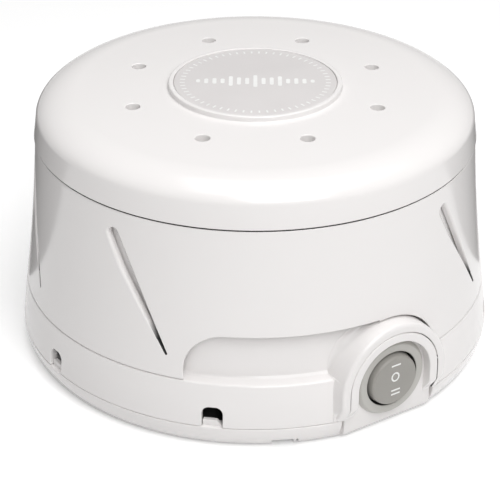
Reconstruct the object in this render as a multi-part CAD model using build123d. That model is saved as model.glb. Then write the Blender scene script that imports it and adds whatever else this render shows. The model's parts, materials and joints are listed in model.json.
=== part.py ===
from build123d import *

import os
from math import cos, radians, sin, sqrt

# White noise sound machine: a shaded-pole motor turns a fan inside a drum. Turning the collar
# and the cap opens or closes the drum's windows and holes, which sets the tone and the volume.
# Millimetres. +Z is up, the switch faces -Y, and the origin is under the middle of the feet.
# An angle is counted round +Z from the switch, so 90 is +X and 180 is the back.

# Widths of the mouldings: the rim's radius, and how far each part above it stands in
rim_r = 73.0
pan_undercut = 2.6         # pan's underside inside its rim
rim_belly = 0.45           # how far the rim's section bows out
skirt_draft = 1.7          # skirt's top inside the rim
collar_waist = 2.75        # collar's middle inside the skirt's top
collar_taper = 4.9         # collar's top inside the skirt's top
cap_overhang = 0.3         # cap's lower edge outside the collar's top
cap_draft = 0.9            # cap's shoulder inside its lower edge
shoulder_width = 12.8
shoulder_height = 6.4

# Heights, each above the part below it
foot_drop = 0.7            # rubber feet below the pan
rim_height = 6.4           # pan's rim above its underside
skirt_height = 13.5
collar_height = 46.25
collar_waist_rise = 21.2   # waist above the collar's lower edge
cap_lift = 0.45            # cap above the collar
cap_side = 6.1             # straight side of the cap
crown_rise = 0.75          # cap's surface beside the raised ring, above its shoulder
crown_bulge = 0.08         # how far the crown's section bows above a straight cone
ring_rise = 1.65

# Walls and clearances
pan_wall = 2.2
skirt_wall = 2.2
drum_wall = 2.0
collar_wall = 2.0
cap_wall = 2.2
seam_gap = 0.15            # pan rim to skirt
turn_gap = 0.25            # collar above its ledge
drum_gap_bottom = 2.0      # drum to collar at the ledge
drum_gap_top = 0.45        # drum to collar at the top
cap_gap = 0.6              # cap to the drum's top
panel_gap = 0.25           # switch panel to the boss round it
running_gap = 0.05         # radial play of turning fits
screw_play = 0.05          # radial play of a screw in its hole
fit_play = 0.02            # radial play of pressed pieces
seat_gap = 0.3             # between soft pieces and what they touch

# Cap
hole_count = 8
hole_ring_r = 38.7
cap_hole_r = 2.1
cap_hole_start = -10.6
badge_r = 24.4
badge_thickness = 0.8
badge_play = 0.15
badge_depth = 0.25         # badge's face below the ring's top
badge_chamfer = 0.2
ring_width = 1.5
ring_round = 0.5
hub_r = 7.95
hub_wall = 2.0
hook_reach = 0.9
hook_height = 1.2
hook_play = 0.2            # hooks below the drum's top plate
hook_slit = 1.6
bearing_rib_r = 15.0
bearing_rib_width = 2.0

# Collar: a slot is the hull of three circles, its head and bend near the collar's top and its tip low down
slot_pitch = 45.0
slot_count = 7
slot_start = 28.0
slot_head_x = -8.6
slot_head_drop = 7.45      # below the collar's top
slot_head_r = 2.15
slot_bend_x = -4.1
slot_bend_drop = 15.95
slot_bend_r = 2.1
slot_tip_x = 10.0
slot_tip_rise = 6.9        # above the collar's lower edge
slot_tip_r = 0.3
notch_height = 14.3        # notch above the collar's lower edge
notch_left = -50.3         # angle of the notch's far side
notch_reach = 48.0         # angle from the notch's far side to over the boss
notch_corner_r = 11.5
notch_play = 0.6           # collar notch round the switch boss

# Drum windows and top holes, out of line with the slots and holes until the parts are turned
window_shift = 22.5
window_tip_rise = 19.0     # above the collar's lower edge
window_tip_r = 1.3
window_grow = 0.2          # windows wider than the slots
top_hole_r = 2.8
top_shift = 22.5

# Skirt
arch_pitch = 45.0
arch_start = -42.6
arch_width = 6.1
arch_height = 6.2
arch_corner_r = 2.2
arch_crown = 0.2           # rise of the arch's top between its corners
tongue_depth = 2.0
tongue_height = 2.6
tongue_play = 0.25
tongue_slope = 0.45        # share of the tongue's half width that stays level
ledge_round = 0.8
ledge_cove = 1.5

# Switch panel and boss
panel_proud = 0.7          # panel's face before the rim's front
switch_rise = 15.6         # switch above the pan's underside
panel_band = 2.7           # panel outside the recess
panel_slope_rise = 4.3     # panel's face starts to slope back this far above the rim
panel_toe_r = 2.0          # round at the panel's foot
panel_depth = 5.3
boss_wall = 2.6
boss_round = 1.0
boss_depth = 16.4          # from the boss's face back into the drum
recess_play = 0.75         # recess outside the bezel
recess_depth = 3.1
envelope_rise = 6.1        # height of the cone that carries the rim's curve up over the boss
envelope_flare = 3.2       # what the cone's radius gains over that height
rim_groove = 0.9
groove_depth = 2.4

# Rocker switch
bezel_r = 11.9
bezel_height = 1.5
bezel_bevel = 0.9
opening_r = 8.75
body_wall = 1.2
body_play = 0.15
body_length = 22.0
rocker_play = 0.5
rocker_edge = 0.6          # bevel round the rocker's face
rocker_sink = 0.2          # rocker's face behind the panel's
rocker_pivot_depth = 4.6   # pivot axis behind the rocker's face
rocker_back = 2.2          # rocker's back behind its pivot axis
rocker_belt = 1.4          # half height of the rocker's straight side
well_depth = 9.0
pin_r = 1.2
pin_reach = 2.0
terminal_width = 6.3
terminal_thickness = 0.8
terminal_length = 8.0
terminal_pitch = 6.0
terminal_hole_r = 0.8
crimp_wall = 0.6
crimp_barrel = 5.0

# Base pan
lip_height = 2.5
lip_wall = 1.6
lip_play = 0.4
lip_taper = 0.2
foot_r = 5.0
foot_thickness = 1.7
foot_play = 0.1
foot_inset = 14.4          # feet inside the pan's underside
screw_inset = 12.0         # housing screws inside the rim
screw_r = 1.5
screw_head_r = 3.0
screw_head_height = 0.8
screw_head_play = 0.2
screw_seat = 0.8           # screw head's seat above the pan's underside
screw_boss_r = 3.8
screw_depth = 11.5
pry_angle = -26.6
pry_width = 6.3
pry_height = 1.9
pry_depth = 0.8
slit_width = 0.7
floor_rib_rs = (18.0, 42.0)
floor_rib_height = 2.0
floor_rib_width = 1.4
boss_rib = 1.6

# Cord inlet
cord_hole_r = 2.9
bushing_wall = 1.0
bushing_lip = 1.5
bushing_flange = 0.9
bushing_reach = 5.0
bushing_rise = 13.5        # cord hole above the pan's underside
bushing_inset = 0.6        # bushing's face inside the rim's radius

# Motor
motor_lift = 22.1          # lamination stack above the pan's floor
stack_height = 16.0
rotor_r = 12.4
air_gap = 0.35
pole_wall = 2.75           # behind the bore, up to the coil window
front_wall = 6.25          # before the bore
side_wall = 10.25          # beside the bore
core_chamfer = 4.0
core_leg = 10.0
bar_depth = 11.0
coil_room = 28.5           # from the coil window's front to the bar's back
shaft_r = 2.0
shaft_stub = 0.5
shaft_chamfer = 0.4
end_float = 0.1            # between a thrust washer and what it runs on
bobbin_wall = 1.0
bobbin_flange = 8.0
winding_margin = 1.2       # winding below the bobbin's flange
coil_play = 0.2
wrap_thickness = 0.4
shade_wire = 1.6
shade_angle = 36.0
shade_play = 0.1
shade_land = 0.9           # iron between the bore and a shading ring
shade_span = 2.0           # iron between a shading ring's two legs
bracket_width = 13.0
bracket_thickness = 1.6
bracket_rise = 4.0
bracket_slope = 3.1
bolt_inset = 4.8           # bolts inside the stack's sides
bracket_inset = 1.5        # upper bracket's ends inside the stack's sides
bolt_r = 1.75
bolt_head_r = 3.2
bolt_head = 2.0
bolt_land = 1.4            # flat foot of a bracket beyond the bolt's head
bolt_end = 0.6
nut_r = 3.4
nut_height = 2.4
bushing_r = 4.5
bushing_length = 7.0
bushing_sink = 0.8         # bushing's inner end below the bracket's flat
cup_wall = 1.2
washer_r = 3.6
washer_thickness = 0.6
post_gap = 6.5             # mounting posts beside the stack
ear_margin = 5.0
post_r = 4.6
post_foot_r = 6.0
post_foot = 5.0
post_rib = 8.0
post_rib_width = 1.4
grommet_r = 5.2
grommet_waist_r = 3.4
grommet_flange = 1.8
mount_screw_r = 1.7
mount_head_r = 3.4
mount_head = 2.0
mount_length = 14.0
mount_washer_r = 5.0
mount_washer = 0.8
driver_slot = 0.8
driver_reach = 3.4

# Fan
fan_side_gap = 9.95        # fan's rim to the drum's wall
fan_lift = 1.8             # fan above the upper bushing
fan_roof_gap = 7.4         # fan below the drum's top plate
fan_disc = 1.5
fan_hub_r = 6.0
fan_eye_r = 22.0
blade_count = 9
blade_thickness = 1.4
blade_drop = 3.0           # blades below the hub's top
blade_sweep = 35.0
tie_width = 2.0
tie_height = 1.6
clip_r = 4.2
clip_thickness = 0.8
clip_play = 0.05
clip_lift = 0.3
groove_r = 1.5

# Leads
lead_r = 0.9
lead_lift = 0.6            # leads above the floor's ribs

# Worked out from the sizes above
pan_z = foot_drop
floor_z = pan_z + pan_wall
rim_z = pan_z + rim_height
skirt_z = rim_z + seam_gap
ledge_z = skirt_z + skirt_height
collar_z = ledge_z + turn_gap
collar_top_z = collar_z + collar_height
collar_mid_z = collar_z + collar_waist_rise
cap_bottom_z = collar_top_z + cap_lift
shoulder_z = cap_bottom_z + cap_side
crown_end_z = shoulder_z + shoulder_height
crown_z = crown_end_z + crown_rise
ring_top_z = crown_z + ring_rise
pan_bottom_r = rim_r - pan_undercut
skirt_top_r = rim_r - skirt_draft
collar_mid_r = skirt_top_r - collar_waist
collar_top_r = skirt_top_r - collar_taper
cap_r = collar_top_r + cap_overhang
shoulder_r = cap_r - cap_draft
crown_start_r = shoulder_r - shoulder_width
belly = ((pan_bottom_r + rim_r) / 2 + rim_belly, pan_z + rim_height * 0.42)
lip_r = rim_r - skirt_wall - lip_play
drum_bottom_r = skirt_top_r - collar_wall - drum_gap_bottom
drum_top_z = collar_top_z
drum_top_r = collar_top_r - collar_wall - drum_gap_top
drum_in_r = drum_bottom_r - drum_wall
hub_hole_r = hub_r + running_gap
ring_r = badge_r + badge_play + ring_width
badge_z = ring_top_z - badge_depth - badge_thickness
cap_under_z = badge_z - cap_wall
cap_inner_z = crown_end_z - cap_wall
drum_roof_z = cap_inner_z - cap_gap
roof_under_z = drum_roof_z - drum_wall
slot_head_z = collar_top_z - slot_head_drop
slot_bend_z = collar_top_z - slot_bend_drop
slot_tip_z = collar_z + slot_tip_rise
window_tip_z = collar_z + window_tip_rise
notch_top_z = collar_z + notch_height
panel_y = rim_r + panel_proud
switch_z = pan_z + switch_rise
recess_r = bezel_r + recess_play
arch_r = recess_r + panel_band
boss_r = arch_r + panel_gap + boss_wall
recess_y = panel_y - recess_depth
bezel_y = recess_y + bezel_height
panel_back_y = panel_y - panel_depth
body_r = opening_r + body_wall
rocker_r = opening_r - rocker_play
rocker_face_r = rocker_r - rocker_edge
rocker_top = panel_y - rocker_sink
pivot_y = rocker_top - rocker_pivot_depth
body_back_y = recess_y - body_length
foot_ring_r = pan_bottom_r - foot_inset
screw_ring_r = rim_r - screw_inset
bushing_neck_r = cord_hole_r + bushing_wall
bushing_flange_r = bushing_neck_r + bushing_lip
bushing_z = pan_z + bushing_rise
bushing_face_y = rim_r - bushing_inset
stack_z = floor_z + motor_lift
stack_top_z = stack_z + stack_height
motor_mid_z = stack_z + stack_height / 2
bore_r = rotor_r + air_gap
core_window = bore_r + pole_wall
core_front = bore_r + front_wall
core_half_width = bore_r + side_wall
bar_end = core_window + coil_room
bolt_x = core_half_width - bolt_inset
bracket_half = core_half_width - bracket_inset
bracket_foot = bolt_x - bolt_head_r - bolt_land
bracket_flat = bracket_foot - bracket_slope
post_x = core_half_width + post_gap
ear_half = post_x + ear_margin
ear_z = stack_z - bracket_thickness
grommet_z = ear_z - grommet_flange
grommet_top_z = stack_z + grommet_flange
shaft_bottom_z = stack_z - bracket_rise + bushing_sink - bushing_length - shaft_stub
end_ring_height = bracket_rise - bushing_sink - washer_thickness - 2 * end_float
fan_z = stack_top_z + bracket_rise - bushing_sink + bushing_length + fan_lift
fan_height = roof_under_z - fan_roof_gap - fan_z
fan_r = drum_top_r - drum_wall - fan_side_gap
clip_z = fan_z + fan_height + clip_lift
shaft_top_z = clip_z + clip_thickness + 2 * clip_play + 1.0
inside_y = 0.55 * rim_r    # cutters through one wall start here
beyond = 1.2 * rim_r       # clear of the whole machine
arch_angles = [arch_start + arch_pitch * i for i in (0, -1, -2)]
arch_angles += [arch_start + arch_pitch * i for i in (2, 3, 4)]
slot_angles = [slot_start + slot_pitch * i for i in range(slot_count)]
screw_angles = [45.0, 135.0, 225.0, 315.0]
foot_angles = [30.0, 150.0, 210.0, 330.0]


def turned(shape, angle):
    """Turn a shape built at the switch round the main axis."""
    return Rot(0, 0, angle) * shape


def disc(radius, low, height, x=0.0, y=0.0):
    """Upright cylinder from its lower face."""
    return Pos(x, y, low) * Cylinder(radius, height, align=(Align.CENTER, Align.CENTER, Align.MIN))


def block(x, y, z):
    """Box given by its three (low, high) pairs."""
    size = (x[1] - x[0], y[1] - y[0], z[1] - z[0])
    return Pos(x[0], y[0], z[0]) * Box(*size, align=(Align.MIN, Align.MIN, Align.MIN))


def spun(face):
    """Solid of revolution from a face of (radius, height)."""
    return revolve(Plane.XZ * face, axis=Axis.Z, revolution_arc=360)


def polygon(*points):
    return make_face(Polyline(*points, close=True))


def forward_plane(y):
    """Plane that faces the front, y before the main axis."""
    return Plane.XZ.offset(y)


def ringed(radius, angle, low, height, centre_r):
    """Upright cylinder at an angle and distance from the main axis."""
    return turned(disc(radius, low, height, 0, -centre_r), angle)


def fused(shapes):
    whole = shapes[0]
    for shape in shapes[1:]:
        whole = whole + shape
    return whole


# ---------------------------------------------------------------- outlines of the mouldings
def shoulder_arc(inset):
    """Quarter ellipse of the shoulder, pushed inwards."""
    centre = (crown_start_r, shoulder_z)
    across = shoulder_width - inset
    return EllipticalCenterArc(centre, across, shoulder_height - inset, 0, arc_size=90)


def crown_point(radius):
    """Height of the cap's upper surface between the shoulder and the ring."""
    return crown_end_z + crown_rise * (crown_start_r - radius) / (crown_start_r - ring_r)


def arch_outline(radius, low):
    """Upright arch of the panel or the boss down to a height."""
    sides = Polyline((-radius, switch_z), (-radius, low), (radius, low), (radius, switch_z))
    top = ThreePointArc((radius, switch_z), (0, switch_z + radius), (-radius, switch_z))
    return make_face(sides + top)


def rim_curve():
    """Bowed outside of the pan's rim."""
    return ThreePointArc((pan_bottom_r, pan_z), belly, (rim_r, rim_z))


def envelope():
    """Everything inside the rim's curve, carried on upwards as a gentle cone."""
    reach = rim_r + envelope_flare
    slope_end = rim_z + envelope_rise
    edge = Polyline((0, beyond), (0, pan_z), (pan_bottom_r, pan_z)) + rim_curve()
    edge += Polyline((rim_r, rim_z), (reach, slope_end), (reach, beyond), (0, beyond))
    return spun(make_face(edge))


# ---------------------------------------------------------------- base pan
def rim_section():
    """Section of the pan: plate, rounded rim and the lip that centres the housing."""
    lip_top = rim_z + lip_height
    edge = Polyline((0, floor_z), (0, pan_z), (pan_bottom_r, pan_z)) + rim_curve()
    edge += Polyline(
        (rim_r, rim_z), (lip_r, rim_z), (lip_r - lip_taper, lip_top),
        (lip_r - lip_wall, lip_top), (lip_r - lip_wall, floor_z), (0, floor_z),
    )
    return make_face(edge)


def panel_side():
    """Panel seen from its side: upright face, slope back to the recess's depth, and rounded toe."""
    toe = recess_y - panel_toe_r
    edge = Polyline((-toe, pan_z), (-inside_y, pan_z), (-inside_y, beyond), (-panel_y, beyond))
    edge += Polyline((-panel_y, beyond), (-panel_y, rim_z + panel_slope_rise), (-recess_y, rim_z))
    edge += Line((-recess_y, rim_z), (-recess_y, pan_z + panel_toe_r))
    edge += RadiusArc((-recess_y, pan_z + panel_toe_r), (-toe, pan_z), -panel_toe_r)
    return extrude(Plane.YZ * make_face(edge), arch_r, both=True)


def panel():
    """Upright switch panel, its recess and the round hole of the switch."""
    plate = extrude(forward_plane(panel_back_y) * arch_outline(arch_r, 0), panel_depth)
    plate = plate & panel_side()
    pocket = extrude(forward_plane(recess_y) * Pos(0, switch_z) * Circle(recess_r), beyond)
    pocket += block((-recess_r, recess_r), (-beyond, -recess_y), (-pan_z, switch_z))
    hole = extrude(forward_plane(inside_y) * Pos(0, switch_z) * Circle(body_r + body_play), beyond)
    return plate - pocket - hole


def tongue(angle):
    """Tongue of the pan that stands in an air arch, with one sloping side."""
    half = arch_width / 2 - tongue_play
    low = rim_z - tongue_height / 2
    top = rim_z + tongue_height
    shape = polygon((-half, low), (half, low), (half, rim_z), (half * tongue_slope, top), (-half, top))
    bar = extrude(forward_plane(lip_r - tongue_depth / 3) * shape, tongue_depth)
    return turned(bar, angle)


def motor_post(x):
    """Post that carries a motor grommet, with a flared foot and four ribs."""
    top = grommet_z - seat_gap
    height = top - floor_z
    sunk = pan_wall / 2
    post = disc(post_r, floor_z - sunk, height + sunk, x)
    flare = Cone(post_foot_r, post_r, post_foot, align=(Align.CENTER, Align.CENTER, Align.MIN))
    post += Pos(x, 0, floor_z) * flare
    for angle in (0, 90):
        rib = block((-post_rib, post_rib), (-post_rib_width / 2, post_rib_width / 2), (-sunk, height * 0.6))
        post += Pos(x, 0, floor_z) * Rot(0, 0, angle) * rib
    hole = disc(mount_screw_r + screw_play, grommet_top_z - mount_length, mount_length, x)
    return post - hole


def base_pan():
    pan = spun(rim_section())
    half = arch_r - body_play
    pan -= block((-half, half), (-beyond, -panel_back_y + lip_wall), (floor_z, beyond))
    pan -= block((-arch_r, arch_r), (-beyond, panel_toe_r - recess_y), (0, beyond))
    beside = boss_r + lip_play
    pan -= block((-beside, beside), (-beyond, -panel_back_y + boss_depth / 2), (rim_z, beyond))
    pan += panel()
    for angle in arch_angles:
        pan += tongue(angle)
    for x in (-post_x, post_x):
        pan += motor_post(x)
    for radius in floor_rib_rs:
        hoop = Circle(radius + floor_rib_width) - Circle(radius)
        pan += Pos(0, 0, floor_z - pan_wall / 2) * extrude(hoop, floor_rib_height + pan_wall / 2)
    for angle in screw_angles:
        pan -= ringed(screw_r + screw_play, angle, -pan_z, 2 * rim_z, screw_ring_r)
        pan -= ringed(screw_head_r + screw_head_play, angle, 0, pan_z + screw_seat, screw_ring_r)
    for angle in foot_angles:
        pan -= ringed(foot_r + foot_play, angle, 0, foot_thickness, foot_ring_r)
    return pan - pan_cuts()


def pan_cuts():
    """Grooves beside the panel, and the recess and slit for prying the pan off."""
    cuts = []
    for side in (-1, 1):
        x = side * (arch_r + rim_groove / 2)
        edges = (x - rim_groove / 2, x + rim_groove / 2)
        depth = sqrt(rim_r ** 2 - x ** 2) - groove_depth
        cuts.append(block(edges, (-beyond, -depth), (0, rim_z)))
    top = pan_z + pry_height
    pry = block((-pry_width / 2, pry_width / 2), (-beyond, -pan_bottom_r + pry_depth / 2), (0, top))
    slit_x = pry_width / 2 + slit_width
    slit = block((slit_x, slit_x + slit_width), (-beyond, -pan_bottom_r + 2 * pry_depth), (0, top))
    cuts.append(turned(pry, pry_angle))
    cuts.append(turned(slit, pry_angle))
    return fused(cuts)


# ---------------------------------------------------------------- inner housing
def housing_section():
    """Section of the housing from the skirt up over the ledge and the drum to its top plate."""
    outer_inset = cap_wall + cap_gap
    inner_inset = outer_inset + drum_wall
    skirt_in = skirt_top_r - skirt_wall
    cove_end = ledge_z + ledge_cove
    round_start = ledge_z - ledge_round
    edge = Polyline((rim_r, skirt_z), (skirt_top_r, round_start))
    edge += RadiusArc((skirt_top_r, round_start), (skirt_top_r - ledge_round, ledge_z), -ledge_round)
    edge += Polyline((skirt_top_r - ledge_round, ledge_z), (drum_bottom_r + ledge_cove, ledge_z))
    edge += RadiusArc((drum_bottom_r + ledge_cove, ledge_z), (drum_bottom_r, cove_end), ledge_cove)
    shoulder_out = shoulder_r - outer_inset
    shoulder_in = shoulder_r - inner_inset
    edge += Polyline((drum_bottom_r, cove_end), (drum_top_r, drum_top_z), (shoulder_out, shoulder_z))
    edge += shoulder_arc(outer_inset)
    edge += Polyline(
        (crown_start_r, drum_roof_z), (hub_hole_r, drum_roof_z),
        (hub_hole_r, roof_under_z), (crown_start_r, roof_under_z),
    )
    edge += shoulder_arc(inner_inset)
    edge += Polyline(
        (shoulder_in, shoulder_z), (drum_top_r - drum_wall, drum_top_z), (drum_in_r, cove_end),
        (drum_in_r, ledge_z - skirt_wall), (skirt_in, ledge_z - skirt_wall),
        (rim_r - skirt_wall, skirt_z), (rim_r, skirt_z),
    )
    return make_face(edge)


def slot_blade(tip, grow):
    """Leaning blade of a slot, as a cutter through the wall at the switch's angle."""
    head = (slot_head_x, slot_head_z, slot_head_r)
    bend = (slot_bend_x, slot_bend_z, slot_bend_r)
    rings = [Pos(x, z) * Circle(r + grow) for x, z, r in (head, bend, tip)]
    face = make_hull([ring.edge() for ring in rings])
    return extrude(forward_plane(inside_y) * face, inside_y)


def window_blade():
    """Cutter of a drum window: the slot's upper stretch, a little wider."""
    share = (slot_bend_z - window_tip_z) / (slot_bend_z - slot_tip_z)
    tip_x = slot_bend_x + (slot_tip_x - slot_bend_x) * share
    return slot_blade((tip_x, window_tip_z, window_tip_r), window_grow)


def air_arch(angle):
    """Low arch in the skirt's lower edge that lets air in."""
    half = arch_width / 2
    top = skirt_z + arch_height
    shoulder = top - arch_crown
    side = shoulder - arch_corner_r
    flat = half - arch_corner_r
    edge = Polyline((-half, side), (-half, 0), (half, 0), (half, side))
    edge += RadiusArc((half, side), (flat, shoulder), -arch_corner_r)
    edge += ThreePointArc((flat, shoulder), (0, top), (-flat, shoulder))
    edge += RadiusArc((-flat, shoulder), (-half, side), -arch_corner_r)
    return turned(extrude(forward_plane(inside_y) * make_face(edge), inside_y), angle)


def switch_boss():
    """Arch round the switch panel, rounded along its front edge."""
    outline = arch_outline(boss_r, pan_z)
    solid = extrude(forward_plane(panel_y - boss_depth) * outline, boss_depth)
    front = solid.faces().sort_by(Axis.Y)[0]
    solid = fillet(front.edges(), boss_round)
    below = block((-beyond, beyond), (-beyond, 0), (0, skirt_z))
    return (solid & envelope()) - below


def screw_boss(angle):
    """Boss inside the skirt for a housing screw, with a rib to the wall."""
    low = floor_z + seam_gap
    top = ledge_z + screw_boss_r
    boss = disc(screw_boss_r, low, top - low, 0, -screw_ring_r)
    rib_end = skirt_top_r - skirt_wall / 2
    rib_low = rim_z + 2 * lip_height
    boss += block((-boss_rib / 2, boss_rib / 2), (-rib_end, -screw_ring_r), (rib_low, ledge_z - skirt_wall / 2))
    hole = disc(screw_r + screw_play, low, screw_depth, 0, -screw_ring_r)
    return turned(boss - hole, angle)


def bushing_seat():
    """Flat pocket and hole in the back of the skirt for the cord bushing."""
    pocket_y = bushing_face_y - bushing_flange - running_gap
    plane = Plane.XZ.offset(-pocket_y)
    inwards = 2 * skirt_wall + bushing_flange_r
    pocket = extrude(plane * Pos(0, bushing_z) * Circle(bushing_flange_r + body_play), -bushing_flange_r)
    hole = extrude(plane * Pos(0, bushing_z) * Circle(bushing_neck_r + foot_play), inwards)
    return pocket + hole


def inner_housing():
    shell = spun(housing_section())
    shell += switch_boss()
    opening = arch_outline(arch_r + panel_gap, 0)
    cavity = extrude(forward_plane(inside_y) * opening, beyond)
    hollow_r = drum_in_r - drum_wall / 2
    hollow_top = switch_z + boss_r + drum_wall / 2
    shell = shell - cavity - disc(hollow_r, 0, hollow_top)
    for angle in screw_angles:
        shell += screw_boss(angle)
    for angle in arch_angles:
        shell -= air_arch(angle)
    blade = window_blade()
    for angle in slot_angles:
        shell -= turned(blade, angle + window_shift)
    for i in range(hole_count):
        angle = cap_hole_start + top_shift + i * 360 / hole_count
        shell -= ringed(top_hole_r, angle, roof_under_z - drum_wall, 3 * drum_wall, hole_ring_r)
    return shell - bushing_seat()


# ---------------------------------------------------------------- collar and cap
def collar_section():
    """Flared wall of the collar."""
    outer = ThreePointArc((skirt_top_r, collar_z), (collar_mid_r, collar_mid_z), (collar_top_r, collar_top_z))
    inner = ThreePointArc(
        (skirt_top_r - collar_wall, collar_z),
        (collar_mid_r - collar_wall, collar_mid_z),
        (collar_top_r - collar_wall, collar_top_z),
    )
    low = Line((skirt_top_r, collar_z), (skirt_top_r - collar_wall, collar_z))
    high = Line((collar_top_r, collar_top_z), (collar_top_r - collar_wall, collar_top_z))
    return make_face(outer + inner + low + high)


def notch():
    """Cut-out in the collar's lower edge: one side follows the boss, the other lies well away."""
    beside_boss = extrude(forward_plane(inside_y) * arch_outline(boss_r + notch_play, 0), beyond)
    left = -collar_mid_r * sin(radians(notch_reach / 2))
    corner = notch_corner_r
    side = notch_top_z - corner
    edge = Polyline((left, side), (left, rim_z), (-left, rim_z), (-left, notch_top_z))
    edge += Line((-left, notch_top_z), (left + corner, notch_top_z))
    edge += RadiusArc((left + corner, notch_top_z), (left, side), -corner)
    window = extrude(forward_plane(inside_y) * make_face(edge), beyond)
    return beside_boss + turned(window, notch_left + notch_reach / 2)


def collar():
    ring = spun(collar_section()) - notch()
    blade = slot_blade((slot_tip_x, slot_tip_z, slot_tip_r), 0)
    for angle in slot_angles:
        ring -= turned(blade, angle)
    return ring


def cap_section():
    """Section of the cap: wall, shoulder, crown, raised ring, badge seat, hub and bearing rib."""
    ring_in = badge_r + badge_play
    mid_r = (crown_start_r + ring_r) / 2
    crown_mid = (mid_r, crown_point(mid_r) + crown_bulge)
    bore_r = hub_r - hub_wall
    hook_top = roof_under_z - hook_play
    rib_end = bearing_rib_r + bearing_rib_width
    round_z = ring_top_z - ring_round
    edge = Polyline((cap_r, cap_bottom_z), (shoulder_r, shoulder_z)) + shoulder_arc(0)
    edge += ThreePointArc((crown_start_r, crown_end_z), crown_mid, (ring_r, crown_z))
    edge += Line((ring_r, crown_z), (ring_r, round_z))
    edge += RadiusArc((ring_r, round_z), (ring_r - ring_round, ring_top_z), -ring_round)
    edge += Polyline(
        (ring_r - ring_round, ring_top_z), (ring_in, ring_top_z), (ring_in, badge_z), (0, badge_z),
        (0, cap_under_z), (bore_r, cap_under_z), (bore_r, hook_top - hook_height),
        (hub_r, hook_top - hook_height), (hub_r + hook_reach, hook_top - hook_height * 0.4),
        (hub_r + hook_reach, hook_top), (hub_r, hook_top), (hub_r, cap_inner_z),
        (bearing_rib_r, cap_inner_z), (bearing_rib_r, drum_roof_z), (rib_end, drum_roof_z),
        (rib_end, cap_inner_z), (crown_start_r, cap_inner_z),
    )
    edge += shoulder_arc(cap_wall)
    wall_end = (cap_r - cap_wall, cap_bottom_z)
    edge += Polyline((shoulder_r - cap_wall, shoulder_z), wall_end, (cap_r, cap_bottom_z))
    return make_face(edge)


def cap():
    lid = spun(cap_section())
    for i in range(hole_count):
        angle = cap_hole_start + i * 360 / hole_count
        lid -= ringed(cap_hole_r, angle, drum_roof_z, ring_top_z - drum_roof_z, hole_ring_r)
    slit_low = roof_under_z - 2 * hook_height
    reach = hub_r + 2 * hook_reach
    for angle in (0, 90):
        slit = block((-reach, reach), (-hook_slit / 2, hook_slit / 2), (slit_low, drum_roof_z + hook_play))
        lid -= Rot(0, 0, angle) * slit
    return lid


def badge_disc():
    plate = disc(badge_r, badge_z, badge_thickness)
    return chamfer(plate.edges().sort_by(Axis.Z)[-1], badge_chamfer)


# ---------------------------------------------------------------- switch
def switch_body():
    """Bezel and barrel of the rocker switch, with the well that the rocker sits in."""
    face = Pos(0, switch_z) * Circle(bezel_r)
    bezel = extrude(forward_plane(recess_y) * face, bezel_height)
    front = bezel.edges().sort_by(Axis.Y)[0]
    bezel = chamfer(front, bezel_bevel, bezel_bevel * 1.4)
    barrel = extrude(forward_plane(body_back_y) * Pos(0, switch_z) * Circle(body_r), body_length)
    well = extrude(forward_plane(bezel_y - well_depth) * Pos(0, switch_z) * Circle(opening_r), beyond)
    return bezel + barrel - well + pivot_pins()


def pivot_pins():
    """Two pins on the well's sides that the rocker turns on."""
    pins = []
    for side in (-1, 1):
        reach = (side * (opening_r + body_wall / 2), side * (rocker_r - pin_reach))
        low, high = min(reach), max(reach)
        pin = Rot(0, 90, 0) * Cylinder(pin_r, high - low)
        pins.append(Pos((low + high) / 2, -pivot_y, switch_z) * pin)
    return pins[0] + pins[1]


def rocker():
    """Round rocker: a flat face inside a bevel, and a cheek with a blind hole at each pin."""
    top = rocker_top - pivot_y
    side = rocker_r
    bevel_r = rocker_face_r + rocker_edge / 5
    bevel_low = top - rocker_edge / 2
    face_r = rocker_face_r - rocker_edge / 5
    edge = Polyline((0, -rocker_back), (side - rocker_edge, -rocker_back), (side, -rocker_belt))
    edge += Line((side, -rocker_belt), (side, rocker_belt))
    bow = (side - rocker_edge / 2, (rocker_belt + bevel_low) / 2 + rocker_edge / 4)
    edge += ThreePointArc((side, rocker_belt), bow, (bevel_r, bevel_low))
    edge += Polyline((bevel_r, bevel_low), (face_r, top), (0, top), (0, -rocker_back))
    body = revolve(Plane.XZ * make_face(edge), axis=Axis.Z)
    body = Pos(0, -pivot_y, switch_z) * Rot(90, 0, 0) * body
    hollow = Pos(0, -pivot_y, switch_z) * Rot(0, 90, 0) * Cylinder(pin_r + running_gap, 3 * rocker_r)
    half = rocker_r - pin_reach - 2 * running_gap
    high = 2 * pin_r
    core = block((-half, half), (-pivot_y - high, high - pivot_y), (switch_z - high, switch_z + high))
    return body - (hollow - core)


def terminal(x):
    """Blade terminal at the back of the switch."""
    half = terminal_width / 2
    side = terminal_thickness / 2
    along = (-body_back_y, terminal_length - body_back_y)
    blade = block((x - side, x + side), along, (switch_z - half, switch_z + half))
    hole = Rot(0, 90, 0) * Cylinder(terminal_hole_r, 2 * terminal_thickness)
    return blade - Pos(x, -body_back_y + terminal_length * 0.6, switch_z) * hole


def crimp(x):
    """Folded connector pushed on a terminal, with its barrel for the lead."""
    gap = terminal_thickness / 2 + running_gap
    out = gap + crimp_wall
    half = terminal_width / 2 + running_gap
    tall = half + crimp_wall
    start = -body_back_y + terminal_length / 5
    end = -body_back_y + terminal_length + crimp_wall
    sleeve = block((x - out, x + out), (start, end), (switch_z - tall, switch_z + tall))
    floor = end - crimp_wall + running_gap
    sleeve -= block((x - gap, x + gap), (start, floor), (switch_z - half, switch_z + half))
    middle = end + crimp_barrel / 2
    barrel = Pos(x, middle, switch_z) * Rot(90, 0, 0) * Cylinder(lead_r + crimp_wall, crimp_barrel)
    bore = Pos(x, middle + lead_r, switch_z) * Rot(90, 0, 0) * Cylinder(lead_r + running_gap, crimp_barrel)
    return sleeve + barrel - bore


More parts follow.
